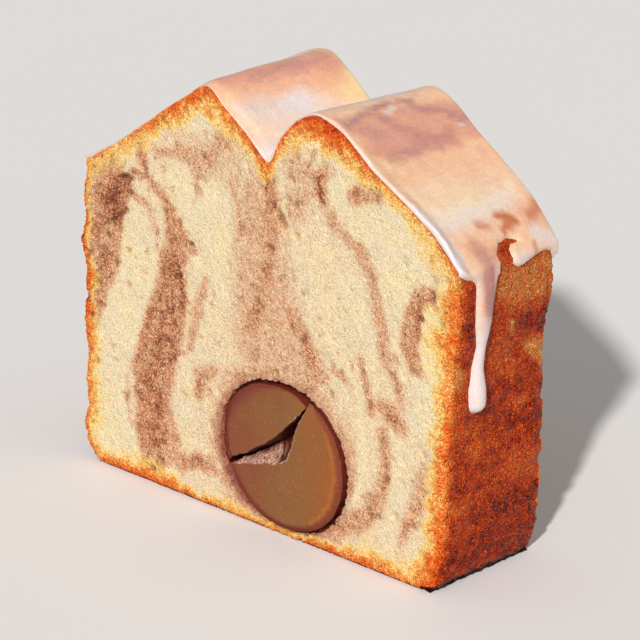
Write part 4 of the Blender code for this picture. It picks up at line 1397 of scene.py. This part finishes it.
def syrup_lining(material):
    """Wet ring that lines the hollow from just behind one cut to just behind the other."""
    turns, rows = 220, 16
    loop = [(k / rows, 1.0) for k in range(rows + 1)] + [(1.0 - k / rows, 0.0) for k in range(rows + 1)]
    bm = bmesh.new()
    bmesh.ops.create_grid(bm, x_segments=turns, y_segments=len(loop), size=0.5)
    for vertex in bm.verts:
        turn = round((vertex.co.x + 0.5) * turns) % turns
        depth, outer = loop[round((vertex.co.y + 0.5) * len(loop)) % len(loop)]
        angle = 360.0 * turn / turns
        round_it = Vector((math.cos(math.radians(angle)), math.sin(math.radians(angle)), depth))
        ridge = noise.fractal(round_it * 8.0, 1.0, 2.0, 3)
        size = LINING_OUTSIDE if outer else LINING_INSIDE + 0.02 * ridge
        x, z = oval_point(angle, size * tunnel_scale(depth))
        cut = 1.0 + 0.5 * ridge * (1.0 - outer)
        vertex.co = (x, FRONT + blend(cut, THICKNESS - cut, depth), max(z, 0.3))
    bmesh.ops.remove_doubles(bm, verts=bm.verts, dist=1e-4)
    bmesh.ops.recalc_face_normals(bm, faces=bm.faces)
    piece = add_piece("syrup_lining", bm, material, sharp=50.0)
    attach(piece, "root")


def make_chestnut(look):
    flesh = flesh_finish(look)
    chestnut_piece(
        "chestnut_small_piece", SMALL_ARC, SMALL_SKIN, SMALL_BREAK, SMALL_BREAK_DEEP,
        SMALL_CLOSES, SMALL_CENTRE, 0.0, flesh, "chestnut_small")
    chestnut_piece(
        "chestnut_large_piece", LARGE_ARC, LARGE_SKIN, LARGE_BREAK, LARGE_BREAK_DEEP,
        LARGE_CLOSES, LARGE_CENTRE, 1.0, flesh, "chestnut_large")
    syrup_lining(syrup_finish(look))


# Stage

CAMERA_AIM = (13.33, -12.5, 40.56)
CAMERA_TURN = 45.0            # degrees from the front cut towards the baked side
CAMERA_RISE = 20.26
CAMERA_DISTANCE = 630.5
CAMERA_LENS = 220.0
KEY_TURN = 31.0
KEY_RISE = 33.0
FLOOR_SIZE = 4000.0


def look_from(turn, rise):
    """Unit vector from the object towards a viewer or a light."""
    a, e = math.radians(turn), math.radians(rise)
    return Vector((math.sin(a) * math.cos(e), -math.cos(a) * math.cos(e), math.sin(e)))


def make_stage(look):
    scene = bpy.context.scene
    scene.view_settings.view_transform = "Standard"

    bm = bmesh.new()
    bmesh.ops.create_grid(bm, x_segments=1, y_segments=1, size=FLOOR_SIZE / 2)
    floor = add_piece("floor", bm, floor_finish(look))

    world = bpy.data.worlds.new("studio")
    world.use_nodes = True
    world.node_tree.nodes["Background"].inputs["Color"].default_value = (*look.fill, 1.0)
    world.node_tree.nodes["Background"].inputs["Strength"].default_value = look.fill_strength
    scene.world = world

    key = bpy.data.lights.new("key", "SUN")
    key.energy = look.key_strength
    key.angle = math.radians(3.0)
    lamp = bpy.data.objects.new("key", key)
    lamp.rotation_euler = look_from(KEY_TURN, KEY_RISE).to_track_quat("Z", "Y").to_euler()
    scene.collection.objects.link(lamp)

    camera = bpy.data.objects.new("camera", bpy.data.cameras.new("camera"))
    towards = look_from(CAMERA_TURN, CAMERA_RISE)
    camera.data.lens = CAMERA_LENS
    camera.data.clip_end = 100.0
    camera.location = (Vector(CAMERA_AIM) + towards * CAMERA_DISTANCE) * MM
    camera.rotation_euler = towards.to_track_quat("Z", "Y").to_euler()
    scene.collection.objects.link(camera)
    scene.camera = camera


# The add-on

def colour_property(name, description, *default):
    return FloatVectorProperty(
        name=name, description=description, default=srgb(*default), subtype="COLOR", min=0.0, max=1.0)


class CrumbLook(bpy.types.PropertyGroup):
    """Colours of the crumb and its crust."""

    cream: colour_property("Cream", "Plain batter", 229, 212, 178)
    tan: colour_property("Tan", "Thin cocoa batter", 218, 175, 137)
    cocoa: colour_property("Cocoa", "Chestnut batter", 194, 130, 90)
    dark_cocoa: colour_property("Dark cocoa", "Thickest streaks", 134, 70, 46)
    yellow: colour_property("Yellow", "Crumb just under the crust", 244, 202, 102)
    orange: colour_property("Orange", "Inner side of the crust", 224, 134, 60)
    crust: colour_property("Crust", "Baked crust", 216, 82, 7)
    dark_crust: colour_property("Dark crust", "Darkest baked crust", 176, 44, 3)
    # Painted contact shadow along the foot, darker than any baked crust.
    foot_shadow: colour_property("Shadow", "Rim of the foot", 48, 12, 5)
    egg: colour_property("Egg yellow", "Yellower batter and the crumb near the crust", 240, 216, 152)
    # Painted shade inside open pores and pits, in pale crumb and in brown crumb and crust.
    pore_shade: colour_property("Pore", "Open pores in pale crumb", 196, 140, 84)
    deep_pore_shade: colour_property("Deep pore", "Open pores in brown crumb and crust", 88, 30, 14)
    # Painted highlights on bright grains of the crumb and of the crust.
    grain_glint: colour_property("Spark", "Bright grains of the crumb", 240, 218, 190)
    crust_glint: colour_property("Crust spark", "Bright grains of the crust", 244, 152, 78)
    # Also painted shade on the wall of the hollow behind the chestnut.
    syrup_stain: colour_property("Syrup stain", "Crumb beside the chestnut", 160, 88, 70)


class IcingLook(bpy.types.PropertyGroup):
    """Colours of the icing."""

    white: colour_property("White", "Thick icing", 222, 208, 205)
    cream: colour_property("Cream", "Film over pale crust", 241, 216, 188)
    peach: colour_property("Peach", "Film over golden crust", 238, 180, 132)
    salmon: colour_property("Salmon", "Film over brown crust", 208, 136, 110)
    mauve: colour_property("Mauve", "Milky film over dark crust", 172, 104, 100)
    honey: colour_property("Honey", "Film over yellow crumb", 236, 206, 132)
    bare: colour_property("Bare", "Crust in the gaps", 188, 92, 38)


class ChestnutLook(bpy.types.PropertyGroup):
    """Colours of the chestnut."""

    flesh_olive: colour_property("Flesh", "Cut flesh", 128, 82, 40)
    flesh_orange: colour_property("Warm flesh", "Cut flesh at the right", 142, 80, 28)
    flesh_red: colour_property("Red flesh", "Cut flesh at the lower left", 124, 66, 34)
    # Painted highlight: a bright orange line along the flesh's right rim.
    rim_highlight: colour_property("Highlight", "Line between the flesh and its stained rim", 176, 96, 26)
    broken: colour_property("Broken", "Rough faces of the crack", 232, 180, 157)
    skin: colour_property("Skin", "Stained rim of the flesh", 112, 42, 32)
    # Syrup colour, also used as painted shade deep in the chestnut's crack.
    syrup: colour_property("Syrup", "Dark syrup", 66, 11, 5)


class StageLook(bpy.types.PropertyGroup):
    """Floor and light."""

    floor: colour_property("Floor", "Pale board", 225, 221, 218)
    fill: colour_property("Fill", "Colour of the soft light", 255, 255, 255)
    fill_strength: FloatProperty(
        name="Fill strength", description="Soft light all round", default=0.38, min=0.0)
    key_strength: FloatProperty(
        name="Key strength", description="Light that casts the shadow", default=3.45, min=0.0)


class CAKE_OT_crumb(bpy.types.Operator):
    """Model the marbled crumb with its pores and its crust."""

    bl_idname = "cake.crumb"
    bl_label = "Crumb and crust"

    def execute(self, context):
        make_crumb(context.scene.cake_crumb)
        return {"FINISHED"}


class CAKE_OT_icing(bpy.types.Operator):
    """Pour the icing over the top, with its drips."""

    bl_idname = "cake.icing"
    bl_label = "Icing"

    def execute(self, context):
        make_icing(context.scene.cake_icing)
        return {"FINISHED"}


class CAKE_OT_chestnut(bpy.types.Operator):
    """Model both pieces of the chestnut."""

    bl_idname = "cake.chestnut"
    bl_label = "Chestnut"

    def execute(self, context):
        make_chestnut(context.scene.cake_chestnut)
        return {"FINISHED"}


class CAKE_OT_stage(bpy.types.Operator):
    """Set the floor, the lights and the camera."""

    bl_idname = "cake.stage"
    bl_label = "Stage"

    def execute(self, context):
        make_stage(context.scene.cake_stage)
        return {"FINISHED"}


class CAKE_PT_slice(bpy.types.Panel):
    """Lists the pieces of the slice."""

    bl_label = "Marbled cake slice"
    bl_space_type = "VIEW_3D"
    bl_region_type = "UI"
    bl_category = "Cake"

    def draw(self, context):
        for operator in OPERATORS:
            self.layout.operator(operator.bl_idname)
        for name in LOOKS:
            look = getattr(context.scene, name)
            for setting in look.bl_rna.properties:
                if setting.identifier not in ("name", "rna_type"):
                    self.layout.prop(look, setting.identifier)


LOOKS = {
    "cake_crumb": CrumbLook, "cake_icing": IcingLook,
    "cake_chestnut": ChestnutLook, "cake_stage": StageLook,
}
OPERATORS = (CAKE_OT_stage, CAKE_OT_crumb, CAKE_OT_chestnut, CAKE_OT_icing)
CLASSES = (*LOOKS.values(), *OPERATORS, CAKE_PT_slice)


def register():
    for cls in CLASSES:
        bpy.utils.register_class(cls)
    for name, look in LOOKS.items():
        setattr(bpy.types.Scene, name, PointerProperty(type=look))


def unregister():
    for name in LOOKS:
        delattr(bpy.types.Scene, name)
    for cls in reversed(CLASSES):
        bpy.utils.unregister_class(cls)


def main():
    register()
    for operator in OPERATORS:
        group, name = operator.bl_idname.split(".")
        getattr(getattr(bpy.ops, group), name)()


if __name__ == "__main__":
    main()
